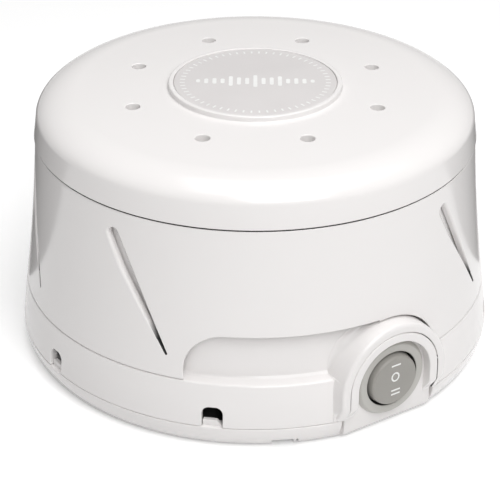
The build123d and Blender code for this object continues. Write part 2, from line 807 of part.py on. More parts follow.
# ---------------------------------------------------------------- motor
def motor_core():
    """C-shaped stack: two legs, the poles round the rotor and the slots of the shading rings."""
    width = core_half_width
    inner = width - core_leg
    cut = core_chamfer
    outline = polygon(
        (-width, cut - core_front), (cut - width, -core_front), (width - cut, -core_front),
        (width, cut - core_front), (width, bar_end), (inner, bar_end),
        (inner, core_window), (-inner, core_window), (-inner, bar_end), (-width, bar_end),
    )
    outline -= Circle(bore_r)
    for angle in (90, 270):
        outline -= Rot(0, 0, angle) * Pos(bore_r, 0) * Rectangle(pole_wall, shade_wire)
    for angle in (shade_angle, shade_angle + 180):
        outline -= Rot(0, 0, angle) * shade_holes()
    for x in (-bolt_x, bolt_x):
        outline -= Pos(x, 0) * Circle(bolt_r + screw_play)
    return Pos(0, 0, stack_z) * extrude(outline, stack_height)


def shade_legs():
    """Distances of a shading ring's two legs from the motor's axis, and the width of their holes."""
    hole = shade_wire + 2 * shade_play
    near = bore_r + shade_land + hole / 2
    return near, near + hole + shade_span, hole


def shade_holes():
    """Two holes through the stack on one radius, for the legs of a shading ring."""
    near, far, hole = shade_legs()
    return Pos(near, 0) * Rectangle(hole, hole) + Pos(far, 0) * Rectangle(hole, hole)


def core_bar():
    """Straight stack through the coil, closing the C between its legs."""
    reach = core_half_width - core_leg - fit_play
    return block((-reach, reach), (bar_end - bar_depth, bar_end), (stack_z, stack_top_z))


def shading_ring(angle):
    """Closed copper loop through the two holes, over the top and bottom of the stack."""
    near, far, hole = shade_legs()
    half = shade_wire / 2
    low = stack_z - shade_play
    high = stack_top_z + shade_play
    loop = block((near - half, far + half), (-half, half), (low - shade_wire, high + shade_wire))
    loop -= block((near + half, far - half), (-hole, hole), (low, high))
    return Rot(0, 0, angle) * loop


def coil_frame():
    """Half sizes of the bobbin's tube: along the bar, across it and its height."""
    reach = core_half_width - core_leg - coil_play
    across = bar_depth / 2 + coil_play
    high = stack_height / 2 + coil_play
    return reach, across, high


def rounded_bar(reach, across, high, corner):
    """Bar along X with rounded long edges, centred on the coil."""
    y = bar_end - bar_depth / 2
    face = Pos(y, motor_mid_z) * RectangleRounded(2 * across, 2 * high, corner)
    return Pos(-reach, 0, 0) * extrude(Plane.YZ * face, 2 * reach)


def coil_bobbin():
    reach, across, high = coil_frame()
    tube = rounded_bar(reach, across + bobbin_wall, high + bobbin_wall, bobbin_wall)
    flange = rounded_bar(bobbin_wall / 2, across + bobbin_flange, high + bobbin_flange, 2 * bobbin_wall)
    whole = tube
    for side in (-1, 1):
        whole += Pos(side * (reach - bobbin_wall / 2), 0, 0) * flange
    y = bar_end - bar_depth / 2
    core = block((-2 * reach, 2 * reach), (y - across, y + across), (motor_mid_z - high, motor_mid_z + high))
    return whole - core


def coil_winding():
    reach, across, high = coil_frame()
    depth = bobbin_flange - winding_margin
    length = reach - bobbin_wall - running_gap
    inner = bobbin_wall + running_gap
    coil = rounded_bar(length, across + depth, high + depth, bobbin_flange / 2)
    return coil - rounded_bar(reach, across + inner, high + inner, bobbin_wall)


def coil_wrap():
    """Tape round the winding."""
    reach, across, high = coil_frame()
    inner = bobbin_flange - winding_margin + running_gap
    outer = inner + wrap_thickness
    corner = bobbin_flange / 2 + running_gap
    length = reach - bobbin_wall - wrap_thickness
    tape = rounded_bar(length, across + outer, high + outer, corner + wrap_thickness)
    return tape - rounded_bar(reach, across + inner, high + inner, corner)


def rotor():
    """Rotor iron with its cast end rings."""
    ring_r = rotor_r - 1.5
    body = disc(rotor_r, stack_z + end_float, stack_height - 2 * end_float)
    body += disc(ring_r, stack_z - end_ring_height, stack_height + 2 * end_ring_height)
    return body - disc(shaft_r + fit_play, 0, beyond)


def motor_shaft():
    """Shaft with its bevelled top and the groove of the fan's clip."""
    shaft = disc(shaft_r, shaft_bottom_z, shaft_top_z - shaft_bottom_z)
    groove = disc(2 * shaft_r, clip_z, clip_thickness + 2 * clip_play) - disc(groove_r, 0, beyond)
    return chamfer(shaft.edges().sort_by(Axis.Z)[-1], shaft_chamfer) - groove


def bracket(side, half, ear_hole):
    """Stamped strap across the stack, raised in the middle into a cup for the bushing.

    side is 1 above the stack and -1 below it."""
    face_z = stack_top_z if side > 0 else stack_z
    top = bracket_thickness
    rise = bracket_rise
    flat = bracket_flat
    foot = bracket_foot
    bend = bracket_thickness / 2
    under = [(half, 0), (foot, 0), (flat, rise), (-flat, rise), (-foot, 0), (-half, 0)]
    over = [
        (-half, top), (-foot - bend, top), (-flat - bend, rise + top),
        (flat + bend, rise + top), (foot + bend, top), (half, top),
    ]
    face = polygon(*(under + over))
    strap = extrude(Plane.XZ.offset(-bracket_width / 2) * face, bracket_width)
    cup_low = rise - bushing_sink
    strap += disc(bushing_r + cup_wall, cup_low, bushing_length - bushing_sink)
    strap -= disc(bushing_r + fit_play, -rise, beyond)
    for x in (-bolt_x, bolt_x):
        strap -= disc(bolt_r + screw_play, -top, 3 * top, x)
    for x in (-post_x, post_x):
        if ear_hole:
            strap -= disc(grommet_waist_r + 2 * running_gap, -top, 3 * top, x)
    if side < 0:
        strap = mirror(strap, Plane.XY)
    return Pos(0, 0, face_z) * strap


def bushing(side):
    """Sintered bushing in its bracket."""
    start = bracket_rise - bushing_sink
    low = stack_top_z + start if side > 0 else stack_z - start - bushing_length
    return disc(bushing_r, low, bushing_length) - disc(shaft_r + running_gap, 0, beyond)


def thrust_washer(side):
    """Washer between the rotor and a bushing."""
    start = bracket_rise - bushing_sink - end_float
    low = stack_top_z + start - washer_thickness if side > 0 else stack_z - start
    return disc(washer_r, low, washer_thickness) - disc(shaft_r + 2 * running_gap, 0, beyond)


def bracket_bolt(x):
    top = stack_top_z + bracket_thickness
    end = stack_z - bracket_thickness - nut_height - bolt_end
    return disc(bolt_r, end, top - end, x) + disc(bolt_head_r, top, bolt_head, x)


def bolt_nut(x):
    low = stack_z - bracket_thickness - nut_height
    nut = Pos(x, 0, low) * extrude(RegularPolygon(nut_r, 6), nut_height)
    return nut - disc(bolt_r + fit_play, 0, beyond, x)


def grommet(x):
    """Rubber grommet with its waist in the bracket's ear."""
    height = 2 * grommet_flange + bracket_thickness
    ring = disc(grommet_r, grommet_z, height, x)
    waist = disc(2 * grommet_r, ear_z - running_gap, bracket_thickness + 2 * running_gap, x)
    waist -= disc(grommet_waist_r, 0, beyond, x)
    return ring - waist - disc(mount_screw_r + 2 * running_gap, 0, beyond, x)


def mount_washer_ring(x):
    bore = disc(mount_screw_r + 2 * running_gap, 0, beyond, x)
    return disc(mount_washer_r, grommet_top_z, mount_washer, x) - bore


def driver_cross(x, y, z):
    """Cross recess of a screw's head, centred on its face."""
    half = driver_slot / 2
    reach = driver_reach / 2
    deep = (z - driver_slot, z + driver_slot)
    one = block((x - reach, x + reach), (y - half, y + half), deep)
    return one + block((x - half, x + half), (y - reach, y + reach), deep)


def mount_screw(x):
    """Screw through the grommet into its post."""
    seat = grommet_top_z + mount_washer
    shank = disc(mount_screw_r, seat - mount_length, mount_length, x)
    head = disc(mount_head_r, seat, mount_head, x)
    head = fillet(head.edges().sort_by(Axis.Z)[-1], mount_head * 0.6)
    return shank + head - driver_cross(x, 0, seat + mount_head)


# ---------------------------------------------------------------- fan
def blade():
    """One backward-curved blade, standing on the fan's disc."""
    start = fan_eye_r
    end = fan_r - tie_width / 2
    middle = (start + end) / 2
    sweep = radians(blade_sweep)
    lean = sweep * 0.42
    knee = (middle * cos(lean), middle * sin(lean))
    path = ThreePointArc((start, 0), knee, (end * cos(sweep), end * sin(sweep)))
    outline = make_face(offset(path, blade_thickness / 2, side=Side.BOTH))
    return Pos(0, 0, fan_z + fan_disc / 2) * extrude(outline, fan_height - fan_disc / 2 - blade_drop)


def fan():
    """Open fan: disc, hub, curved blades and a ring that ties their tips."""
    wheel = disc(fan_r, fan_z, fan_disc) + disc(fan_hub_r, fan_z, fan_height)
    one = blade()
    for i in range(blade_count):
        wheel += Rot(0, 0, i * 360 / blade_count) * one
    tie = Circle(fan_r) - Circle(fan_r - tie_width)
    wheel += Pos(0, 0, fan_z + fan_height - blade_drop - tie_height) * extrude(tie, tie_height)
    return wheel - disc(shaft_r + fit_play, 0, beyond)


def fan_clip():
    """Spring clip in the groove at the shaft's end."""
    low = clip_z + clip_play
    ring = disc(clip_r, low, clip_thickness) - disc(groove_r + clip_play, 0, beyond)
    return ring - block((0, 2 * clip_r), (-groove_r * 0.8, groove_r * 0.8), (0, beyond))


# ---------------------------------------------------------------- small pieces and leads
def housing_screw(angle):
    """Countersunk in the pan from below, into its boss in the housing."""
    seat = pan_z + screw_seat
    length = floor_z + seam_gap + screw_depth - seat
    shank = disc(screw_r, seat, length - screw_r, 0, -screw_ring_r)
    face = seat - screw_head_height
    head = disc(screw_head_r, face, screw_head_height, 0, -screw_ring_r)
    return turned(shank + head - driver_cross(0, -screw_ring_r, face), angle)


def rubber_foot(angle):
    pad = disc(foot_r, 0, foot_thickness, 0, -foot_ring_r)
    return turned(chamfer(pad.edges().sort_by(Axis.Z)[0], seat_gap), angle)


def cord_bushing():
    """Grommet that lines the cord's hole in the back of the skirt."""
    out = bushing_flange_r
    bevel = bushing_flange / 2
    section = polygon(
        (cord_hole_r, 0), (out - bevel, 0), (out, -bevel), (out, -bushing_flange),
        (bushing_neck_r, -bushing_flange), (bushing_neck_r, -bushing_reach), (cord_hole_r, -bushing_reach),
    )
    ring = revolve(Plane.XZ * section, axis=Axis.Z)
    return Pos(0, bushing_face_y, bushing_z) * Rot(-90, 0, 0) * ring


def lead(side):
    """Lead from an outer switch terminal, under the motor and up to the coil."""
    x = side * terminal_pitch
    start = -body_back_y + terminal_length + crimp_wall + lead_r + running_gap
    coil_y = bar_end - bar_depth / 2
    low = floor_z + floor_rib_height + lead_r + lead_lift
    coil_under = motor_mid_z - stack_height / 2 - coil_play - bobbin_flange - seat_gap
    x_end = side * (core_half_width - core_leg - coil_play - bobbin_wall / 2)
    bend = 4 * lead_r
    points = [
        (x, start, switch_z), (x, start + 3 * bend, switch_z), (x, start + 4.5 * bend, low),
        (x_end, start + 8 * bend, low), (x_end, coil_y - 2.5 * bend, low),
        (x_end, coil_y, low + 1.6 * bend), (x_end, coil_y, coil_under),
    ]
    path = FilletPolyline(*points, radius=[bend, bend, bend, bend, bend * 0.8])
    ring = Plane(origin=path @ 0, z_dir=path % 0) * Circle(lead_r)
    return sweep(ring, path=path)


def group(solids):
    return Compound(children=[solid for shape in solids for solid in shape.solids()])


def parts():
    """Every node by name."""
    bolts = (-bolt_x, bolt_x)
    posts = (-post_x, post_x)
    terminals = (-terminal_pitch, 0.0, terminal_pitch)
    return {
        "base_pan": base_pan(),
        "inner_housing": inner_housing(),
        "tone_collar": collar(),
        "top_cap": cap(),
        "badge_disc": badge_disc(),
        "rubber_feet": group([rubber_foot(a) for a in foot_angles]),
        "housing_screws": group([housing_screw(a) for a in screw_angles]),
        "cord_bushing": cord_bushing(),
        "switch_body": switch_body(),
        "rocker": rocker(),
        "switch_terminals": group([terminal(x) for x in terminals]),
        "crimp_connectors": group([crimp(x) for x in (-terminal_pitch, terminal_pitch)]),
        "coil_leads": group([lead(side) for side in (-1, 1)]),
        "motor_core": motor_core(),
        "core_bar": core_bar(),
        "coil_bobbin": coil_bobbin(),
        "coil_winding": coil_winding(),
        "coil_wrap": coil_wrap(),
        "shading_rings": group([shading_ring(shade_angle), shading_ring(shade_angle + 180)]),
        "rotor": rotor(),
        "motor_shaft": motor_shaft(),
        "upper_bracket": bracket(1, bracket_half, False),
        "lower_bracket": bracket(-1, ear_half, True),
        "upper_bushing": bushing(1),
        "lower_bushing": bushing(-1),
        "thrust_washers": group([thrust_washer(1), thrust_washer(-1)]),
        "bracket_bolts": group([bracket_bolt(x) for x in bolts]),
        "bolt_nuts": group([bolt_nut(x) for x in bolts]),
        "motor_grommets": group([grommet(x) for x in posts]),
        "mount_washers": group([mount_washer_ring(x) for x in posts]),
        "mount_screws": group([mount_screw(x) for x in posts]),
        "fan": fan(),
        "fan_clip": fan_clip(),
    }


os.makedirs("parts", exist_ok=True)
for name, shape in parts().items():
    export_step(shape, f"parts/{name}.step")
    print(name, round(shape.volume, 1))
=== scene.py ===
import json
from math import acos, asin, atan2, ceil, copysign, cos, degrees, hypot, pi, radians, sin, sqrt, tan

import bmesh
import bpy
import numpy as np
from mathutils import Matrix, Vector


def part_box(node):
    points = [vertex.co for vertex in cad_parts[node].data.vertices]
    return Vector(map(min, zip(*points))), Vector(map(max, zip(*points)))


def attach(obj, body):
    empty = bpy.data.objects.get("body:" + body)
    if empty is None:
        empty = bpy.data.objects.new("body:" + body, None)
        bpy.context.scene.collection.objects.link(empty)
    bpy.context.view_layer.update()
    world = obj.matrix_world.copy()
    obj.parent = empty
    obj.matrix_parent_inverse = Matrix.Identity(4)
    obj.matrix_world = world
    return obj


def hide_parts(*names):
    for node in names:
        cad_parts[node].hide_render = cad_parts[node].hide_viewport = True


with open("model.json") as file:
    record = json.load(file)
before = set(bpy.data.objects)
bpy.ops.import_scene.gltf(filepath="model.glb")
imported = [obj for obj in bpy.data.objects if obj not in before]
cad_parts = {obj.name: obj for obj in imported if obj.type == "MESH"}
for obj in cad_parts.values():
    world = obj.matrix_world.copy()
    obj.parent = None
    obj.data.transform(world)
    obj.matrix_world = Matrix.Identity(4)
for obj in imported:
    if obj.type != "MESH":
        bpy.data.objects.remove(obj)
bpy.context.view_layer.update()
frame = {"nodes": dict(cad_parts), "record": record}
scene = bpy.context.scene
mm = 0.001
print("frame loaded:", len(frame["nodes"]), "nodes")


def filled(tree, node, inputs):
    # an input is a value, or the output of another node to link
    for name, value in inputs.items():
        if isinstance(value, bpy.types.NodeSocket):
            tree.links.new(value, node.inputs[name])
        else:
            node.inputs[name].default_value = value
    return node


def added(tree, kind, inputs=None, **settings):
    node = tree.nodes.new(kind)
    for name, value in settings.items():
        setattr(node, name, value)
    return filled(tree, node, inputs or {})


def newMaterial(name):
    material = bpy.data.materials.new(name)
    material.use_nodes = True
    return material, material.node_tree


def grain(tree, scale, detail, stretch):
    place = added(tree, "ShaderNodeTexCoord").outputs["Object"]
    mapped = added(tree, "ShaderNodeMapping", {"Scale": stretch, "Vector": place}).outputs["Vector"]
    return added(tree, "ShaderNodeTexNoise", {"Scale": scale, "Detail": detail, "Vector": mapped}).outputs[0]


def ramp(tree, source, low, high):
    colours = added(tree, "ShaderNodeValToRGB", {"Fac": source})
    for element, place, colour in zip(colours.color_ramp.elements, (0.35, 0.65), (low, high)):
        element.position = place
        element.color = (*colour, 1)
    return colours.outputs["Color"]


# a finish says where it departs from the common look; bump depths are in millimetres
commonLook = {"mottleScale": 60, "grainScale": 1400, "bump": 0.1, "bumpDepth": 0.03, "stretch": (1, 1, 1)}
looks = {
    "white_gloss": {
        "name": "glossWhitePlastic", "dark": (0.868, 0.846, 0.838), "light": (0.876, 0.854, 0.846),
        "mottleScale": 18, "grainScale": 900, "roughness": (0.13, 0.19), "bump": 0.03, "bumpDepth": 0.02,
        "IOR": 1.5,
    },
    "badge_grey": {
        "name": "badgeSatin", "dark": (0.70, 0.675, 0.67), "light": (0.72, 0.695, 0.69),
        "grainScale": 2600, "roughness": (0.3, 0.4), "bump": 0.05, "bumpDepth": 0.02,
    },
    "foot_rubber": {
        "name": "footRubber", "dark": (0.42, 0.42, 0.41), "light": (0.5, 0.5, 0.49),
        "mottleScale": 90, "grainScale": 1500, "roughness": (0.65, 0.8), "bump": 0.3, "bumpDepth": 0.06,
    },
    "zinc_screw": {
        "name": "zincScrew", "dark": (0.6, 0.6, 0.58), "light": (0.78, 0.78, 0.76), "Metallic": 1.0,
        "mottleScale": 200, "grainScale": 1800, "roughness": (0.22, 0.36),
    },
    "zinc_plate": {
        "name": "zincPlate", "dark": (0.52, 0.52, 0.5), "light": (0.72, 0.72, 0.69), "Metallic": 1.0,
        "mottleScale": 120, "grainScale": 900, "roughness": (0.3, 0.45), "bumpDepth": 0.04,
        "stretch": (1, 0.15, 1),
    },
    "white_nylon": {
        "name": "whiteNylon", "dark": (0.76, 0.75, 0.71), "light": (0.8, 0.79, 0.75),
        "mottleScale": 50, "grainScale": 1200, "roughness": (0.35, 0.45),
    },
    "bezel_grey": {
        "name": "bezelGrey", "dark": (0.50, 0.49, 0.46), "light": (0.53, 0.52, 0.49),
        "grainScale": 2400, "roughness": (0.28, 0.38), "bump": 0.12,
    },
    "rocker_grey": {
        "name": "rockerGrey", "dark": (0.33, 0.318, 0.295), "light": (0.355, 0.342, 0.318),
        "mottleScale": 70, "grainScale": 2600, "roughness": (0.38, 0.5), "bump": 0.2,
    },
    "terminal_brass": {
        "name": "terminalBrass", "dark": (0.66, 0.5, 0.22), "light": (0.8, 0.64, 0.32), "Metallic": 1.0,
        "mottleScale": 150, "roughness": (0.22, 0.36), "bump": 0.08,
    },
    "lead_insulation": {
        "name": "leadInsulation", "dark": (0.02, 0.02, 0.02), "light": (0.035, 0.035, 0.035),
        "mottleScale": 150, "roughness": (0.4, 0.55),
    },
    "lamination_steel": {
        "name": "laminationSteel", "dark": (0.12, 0.12, 0.13), "light": (0.3, 0.3, 0.31), "Metallic": 0.8,
        "mottleScale": 90, "grainScale": 160, "roughness": (0.35, 0.55), "bump": 0.6, "bumpDepth": 0.15,
        "stretch": (0.05, 0.05, 12),
    },
    "copper_wire": {
        "name": "copperWire", "dark": (0.45, 0.17, 0.07), "light": (0.62, 0.27, 0.12), "Metallic": 0.9,
        "mottleScale": 120, "grainScale": 160, "roughness": (0.22, 0.34), "bump": 0.7, "bumpDepth": 0.2,
        "stretch": (14, 0.05, 0.05),
    },
    "coil_tape": {
        "name": "coilTape", "dark": (0.62, 0.42, 0.07), "light": (0.72, 0.5, 0.11),
        "grainScale": 700, "roughness": (0.18, 0.3), "bump": 0.15, "bumpDepth": 0.05,
    },
    "cast_aluminium": {
        "name": "castAluminium", "dark": (0.52, 0.52, 0.52), "light": (0.68, 0.68, 0.68), "Metallic": 1.0,
        "mottleScale": 160, "grainScale": 700, "roughness": (0.35, 0.5), "bump": 0.3, "bumpDepth": 0.08,
    },
    "ground_steel": {
        "name": "groundSteel", "dark": (0.6, 0.6, 0.61), "light": (0.72, 0.72, 0.73), "Metallic": 1.0,
        "mottleScale": 120, "grainScale": 500, "roughness": (0.12, 0.22), "bump": 0.05, "bumpDepth": 0.02,
        "stretch": (0.1, 0.1, 8),
    },
    "sintered_bronze": {
        "name": "sinteredBronze", "dark": (0.3, 0.18, 0.07), "light": (0.46, 0.29, 0.13), "Metallic": 0.9,
        "mottleScale": 400, "grainScale": 1500, "roughness": (0.35, 0.5), "bump": 0.3, "bumpDepth": 0.05,
    },
    "fan_plastic": {
        "name": "fanPlastic", "dark": (0.03, 0.03, 0.033), "light": (0.045, 0.045, 0.048),
        "roughness": (0.35, 0.48), "bump": 0.12, "bumpDepth": 0.04,
    },
    "ink": {
        "name": "whiteInk", "dark": (0.86, 0.86, 0.85), "light": (0.9, 0.9, 0.89),
        "mottleScale": 300, "grainScale": 3000, "roughness": (0.4, 0.5), "bumpDepth": 0.01,
    },
    # painted shade: near-black finish for faces that lie in shade, inside the shells, in the switch well and
    # in the gap under the cap
    "inner": {
        "name": "innerShade", "dark": (0.05, 0.05, 0.05), "light": (0.07, 0.07, 0.07),
        "grainScale": 1500, "roughness": (0.5, 0.65), "bump": 0.15,
    },
    # painted shade: mid grey for the roof's top face, which shows in shade through the cap's holes
    "roof": {
        "name": "roofShade", "dark": (0.4, 0.39, 0.385), "light": (0.43, 0.42, 0.41),
        "grainScale": 1500, "roughness": (0.5, 0.65), "bump": 0.15,
    },
}


def surface(look):
    look = {**commonLook, **look}
    material, tree = newMaterial(look["name"])
    mottle = grain(tree, look["mottleScale"], 3.0, look["stretch"])
    fine = grain(tree, look["grainScale"], 2.0, look["stretch"])
    smooth, dull = look["roughness"]
    rough = added(tree, "ShaderNodeMapRange", {"To Min": smooth, "To Max": dull, "Value": fine})
    depth = look["bumpDepth"] * mm
    bump = added(tree, "ShaderNodeBump", {"Strength": look["bump"], "Distance": depth, "Height": fine})
    inputs = {name: look[name] for name in ("Metallic", "IOR") if name in look}
    inputs["Base Color"] = ramp(tree, mottle, look["dark"], look["light"])
    inputs["Roughness"], inputs["Normal"] = rough.outputs["Result"], bump.outputs["Normal"]
    filled(tree, tree.nodes["Principled BSDF"], inputs)
    return material


def fadedShade(name, start, end):
    # painted shade: the near-black inner finish fading to the outer white between two heights
    material = surface({**looks["inner"], "name": name})
    tree = material.node_tree
    colour = tree.nodes["Principled BSDF"].inputs["Base Color"]
    place = added(tree, "ShaderNodeTexCoord").outputs["Object"]
    up = added(tree, "ShaderNodeSeparateXYZ", {0: place}).outputs["Z"]
    share = added(tree, "ShaderNodeMapRange", {"From Min": start * mm, "From Max": end * mm, "Value": up})
    inputs = {"Factor": share.outputs["Result"], "A": colour.links[0].from_socket}
    inputs["B"] = (*looks["white_gloss"]["light"], 1)
    blend = added(tree, "ShaderNodeMix", inputs, data_type="RGBA")
    tree.links.new(blend.outputs["Result"], colour)
    return material


finishes = {slot: surface(look) for slot, look in looks.items()}
slotOf = {part["node"]: part["material_slot"] for part in frame["record"]["subparts"]}
for node, piece in frame["nodes"].items():
    piece.data.materials.clear()
    piece.data.materials.append(finishes[slotOf[node]])
print("materials:", len(finishes))


def spanOf(node, axis):
    # low and high end of a node along an axis, in millimetres
    return [corner[axis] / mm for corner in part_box(node)]


def radiusOf(node):
    low, high = spanOf(node, 0)
    return (high - low) / 2


# Outlines are lists of (across, up) in millimetres; the meshes are in metres.
def rounded(corners, step=1.0, arcStep=12.0):
    # outline through corners (across, up, radius), with its sides divided into steps
    spots = [np.array(corner[:2], float) for corner in corners]
    points = []
    for i, spot in enumerate(spots):
        radius = corners[i][2] if len(corners[i]) > 2 else 0
        before, after = spots[i - 1] - spot, spots[(i + 1) % len(spots)] - spot
        lengthBefore, lengthAfter = np.linalg.norm(before), np.linalg.norm(after)
        before, after = before / lengthBefore, after / lengthAfter
        between = acos(max(-1.0, min(1.0, float(before @ after))))
        if radius == 0 or between > pi - 0.02:
            points.append(spot)
            continue
        cut = min(radius / tan(between / 2), 0.49 * lengthBefore, 0.49 * lengthAfter)
        radius = cut * tan(between / 2)
        middle = spot + (before + after) / np.linalg.norm(before + after) * radius / sin(between / 2)
        start, end = spot + before * cut - middle, spot + after * cut - middle
        turn = pi - between
        count = max(2, ceil(degrees(turn) / arcStep))
        for k in range(count + 1):
            share = k / count
            bend = sin((1 - share) * turn) * start + sin(share * turn) * end
            points.append(middle + bend / sin(turn))
    return divided(points, step)


def divided(points, step):
    result = []
    for i, point in enumerate(points):
        after = points[(i + 1) % len(points)]
        count = max(1, ceil(np.linalg.norm(after - point) / step - 1e-6))
        result += [point + (after - point) * k / count for k in range(count)]
    return np.array(result)


def arcPoints(centre, across, up, start, end, count):
    angles = np.radians(np.linspace(start, end, count + 1))
    return [(centre[0] + across * cos(a), centre[1] + up * sin(a)) for a in angles]


def circleThrough(first, middle, last):
    (ax, ay), (bx, by), (cx, cy) = first, middle, last
    scale = 2 * (ax * (by - cy) + bx * (cy - ay) + cx * (ay - by))
    squares = [x * x + y * y for x, y in (first, middle, last)]
    centreX = (squares[0] * (by - cy) + squares[1] * (cy - ay) + squares[2] * (ay - by)) / scale
    centreY = (squares[0] * (cx - bx) + squares[1] * (ax - cx) + squares[2] * (bx - ax)) / scale
    return (centreX, centreY), hypot(ax - centreX, ay - centreY)


def curveThrough(first, middle, last, count):
    centre, radius = circleThrough(first, middle, last)
    start = degrees(atan2(first[1] - centre[1], first[0] - centre[0]))
    end = degrees(atan2(last[1] - centre[1], last[0] - centre[0]))
    end -= 360 * round((end - start) / 360)
    return arcPoints(centre, radius, radius, start, end, count)


def crossOf(a, b, c):
    return (b[0] - a[0]) * (c[1] - a[1]) - (b[1] - a[1]) * (c[0] - a[0])


def ringOutline(radius, across=0.0, up=0.0, sides=48):
    return np.array(arcPoints((across, up), radius, radius, 0, 360 - 360 / sides, sides - 1))


def hullOutline(circles, sides=60):
    # outline of a band stretched round some circles (across, up, radius)
    rings = [ringOutline(radius, across, up, sides).tolist() for across, up, radius in circles]
    spots = sorted(tuple(spot) for ring in rings for spot in ring)
    halves = []
    for row in (spots, spots[::-1]):
        chain = []
        for spot in row:
            while len(chain) > 1 and crossOf(chain[-2], chain[-1], spot) <= 1e-9:
                chain.pop()
            chain.append(spot)
        halves += chain[:-1]
    return divided([np.array(spot) for spot in halves], 1.0)


def rectangle(x, y, low=0, high=0):
    # corners with one radius for the lower pair and one for the upper pair
    return [(x[0], y[0], low), (x[1], y[0], low), (x[1], y[1], high), (x[0], y[1], high)]


def outwards(outline):
    after, before = np.roll(outline, -1, 0), np.roll(outline, 1, 0)
    along = (after - outline) / np.linalg.norm(after - outline, axis=1)[:, None]
    along += (outline - before) / np.linalg.norm(outline - before, axis=1)[:, None]
    along /= np.linalg.norm(along, axis=1)[:, None]
    area = np.sum(outline[:, 0] * after[:, 1] - after[:, 0] * outline[:, 1])
    return np.stack([along[:, 1], -along[:, 0]], 1) * (1 if area > 0 else -1)


def pieceFrom(name, points, faces):
    mesh = bpy.data.meshes.new(name)
    mesh.from_pydata([tuple(p * mm for p in point) for point in points], [], faces)
    shape = bmesh.new()
    shape.from_mesh(mesh)
    bmesh.ops.recalc_face_normals(shape, faces=shape.faces)
    shape.to_mesh(mesh)
    shape.free()
    piece = bpy.data.objects.new(name, mesh)
    scene.collection.objects.link(piece)
    return piece


def turned(name, profile, segments=360):
    points, faces, rows = [], [], []
    angles = np.radians(np.arange(segments) * 360 / segments)
    for across, up in profile:
        if across < 1e-6:
            rows.append([len(points)] * segments)
            points.append((0, 0, up))
            continue
        rows.append(list(range(len(points), len(points) + segments)))
        points += [(across * sin(a), -across * cos(a), up) for a in angles]
    for i, row in enumerate(rows):
        after = rows[(i + 1) % len(rows)]
        for k in range(segments):
            corners = [row[k], row[(k + 1) % segments], after[(k + 1) % segments], after[k]]
            face = [c for j, c in enumerate(corners) if c != corners[j - 1]]
            if len(face) > 2:
                faces.append(face)
    return pieceFrom(name, points, faces)


def bands(rings):
    count, faces = len(rings[0]), []
    for low in range(0, (len(rings) - 1) * count, count):
        high = low + count
        faces += [[low + k, low + (k + 1) % count, high + (k + 1) % count, high + k] for k in range(count)]
    return faces


def lofted(name, rings):
    count = len(rings[0])
    end = len(rings) * count
    faces = [list(range(count)), *bands(rings), list(range(end - 1, end - count - 1, -1))]
    return pieceFrom(name, [spot for ring in rings for spot in ring], faces)


def bowed(name, rings):
    # loft of even outlines whose two halves face each other, closed by strips from side to side
    count, faces = len(rings[0]), bands(rings)
    for base in (0, (len(rings) - 1) * count):
        for k in range((count - 1) // 2):
            strip = [k, k + 1, count - 2 - k, count - 1 - k]
            faces.append([base + c for j, c in enumerate(strip) if c != strip[j - 1]])
    return pieceFrom(name, [spot for ring in rings for spot in ring], faces)


def roundSteps(radius):
    # (inset, drop) of the points on a round edge, from its side to its face
    turns = [radians(22.5 * k) for k in range(5)]
    return [(radius * (1 - cos(turn)), radius * (1 - sin(turn))) for turn in turns]


def flareSteps(roundness):
    # (growth, depth) of a cutter's mouth, which leaves a round edge, and a last step clear of the wall
    return roundSteps(roundness)[:4] + [(roundness * 2.6, -roundness * 0.45)]


outside = 110.0  # cutters end there, in front of every wall


def wallCutter(name, outline, radiusAt, roundness, inside=40.0):
    # cutter through an upright round wall from the front, with a round edge at the wall's outer face
    normals = outwards(outline)
    rings = [[(x, -inside, z) for x, z in outline]]
    for grow, depth in flareSteps(roundness):
        grown = outline + normals * np.reshape(grow, (-1, 1))
        depths = np.broadcast_to(depth, len(outline))
        rings.append([(x, d - sqrt(radiusAt(z) ** 2 - x * x), z) for (x, z), d in zip(grown, depths)])
    rings.append([(x, -outside, z) for x, z in grown])
    return lofted(name, rings)


def plateCutter(name, outline, heightAt, roundness, low, high):
    # cutter down through a plate, with a round edge at the plate's upper face
    normals = outwards(outline)
    rings = [[(x, y, low) for x, y in outline]]
    for grow, depth in flareSteps(roundness):
        grown = outline + normals * grow
        rings.append([(x, y, heightAt(hypot(x, y)) - depth) for x, y in grown])
    rings.append([(x, y, high) for x, y in grown])
    return lofted(name, rings)


def prism(name, outline, front, back):
    return lofted(name, [[(x, -back, z) for x, z in outline], [(x, -front, z) for x, z in outline]])


def upright(name, outline, low, high):
    return lofted(name, [[(x, y, low) for x, y in outline], [(x, y, high) for x, y in outline]])


def boxPiece(name, x, y, z):
    return upright(name, [corner[:2] for corner in rectangle(x, y)], *z)


def rod(name, radius, low, high, sides):
    return turned(name, [(0, low), (radius, low), (radius, high), (0, high)], sides)


def moved(piece, matrix):
    piece.data.transform(matrix)
    return piece


def spun(piece, angle):
    return moved(piece, Matrix.Rotation(radians(angle), 4, "Z"))


def shifted(piece, x=0.0, y=0.0, z=0.0):
    return moved(piece, Matrix.Translation((x * mm, y * mm, z * mm)))


def facing(piece, up, quarter=90):
    # lays a turned piece down so that its axis points to the front (90) or to the back (-90)
    return shifted(moved(piece, Matrix.Rotation(radians(quarter), 4, "X")), z=up)


def bake(piece):
    bpy.context.view_layer.update()
    made = bpy.data.meshes.new_from_object(piece.evaluated_get(bpy.context.evaluated_depsgraph_get()))
    piece.modifiers.clear()
    old, name = piece.data, piece.data.name
    piece.data = made
    bpy.data.meshes.remove(old)
    made.name = name
    return piece


def combined(base, other, operation):
    step = base.modifiers.new("step", "BOOLEAN")
    step.operation = operation
    step.solver = "MANIFOLD"
    step.object = other
    bake(base)
    bpy.data.objects.remove(other)
    return base


def cutAway(base, other):
    return combined(base, other, "DIFFERENCE")


def joined(base, other):
    return combined(base, other, "UNION")


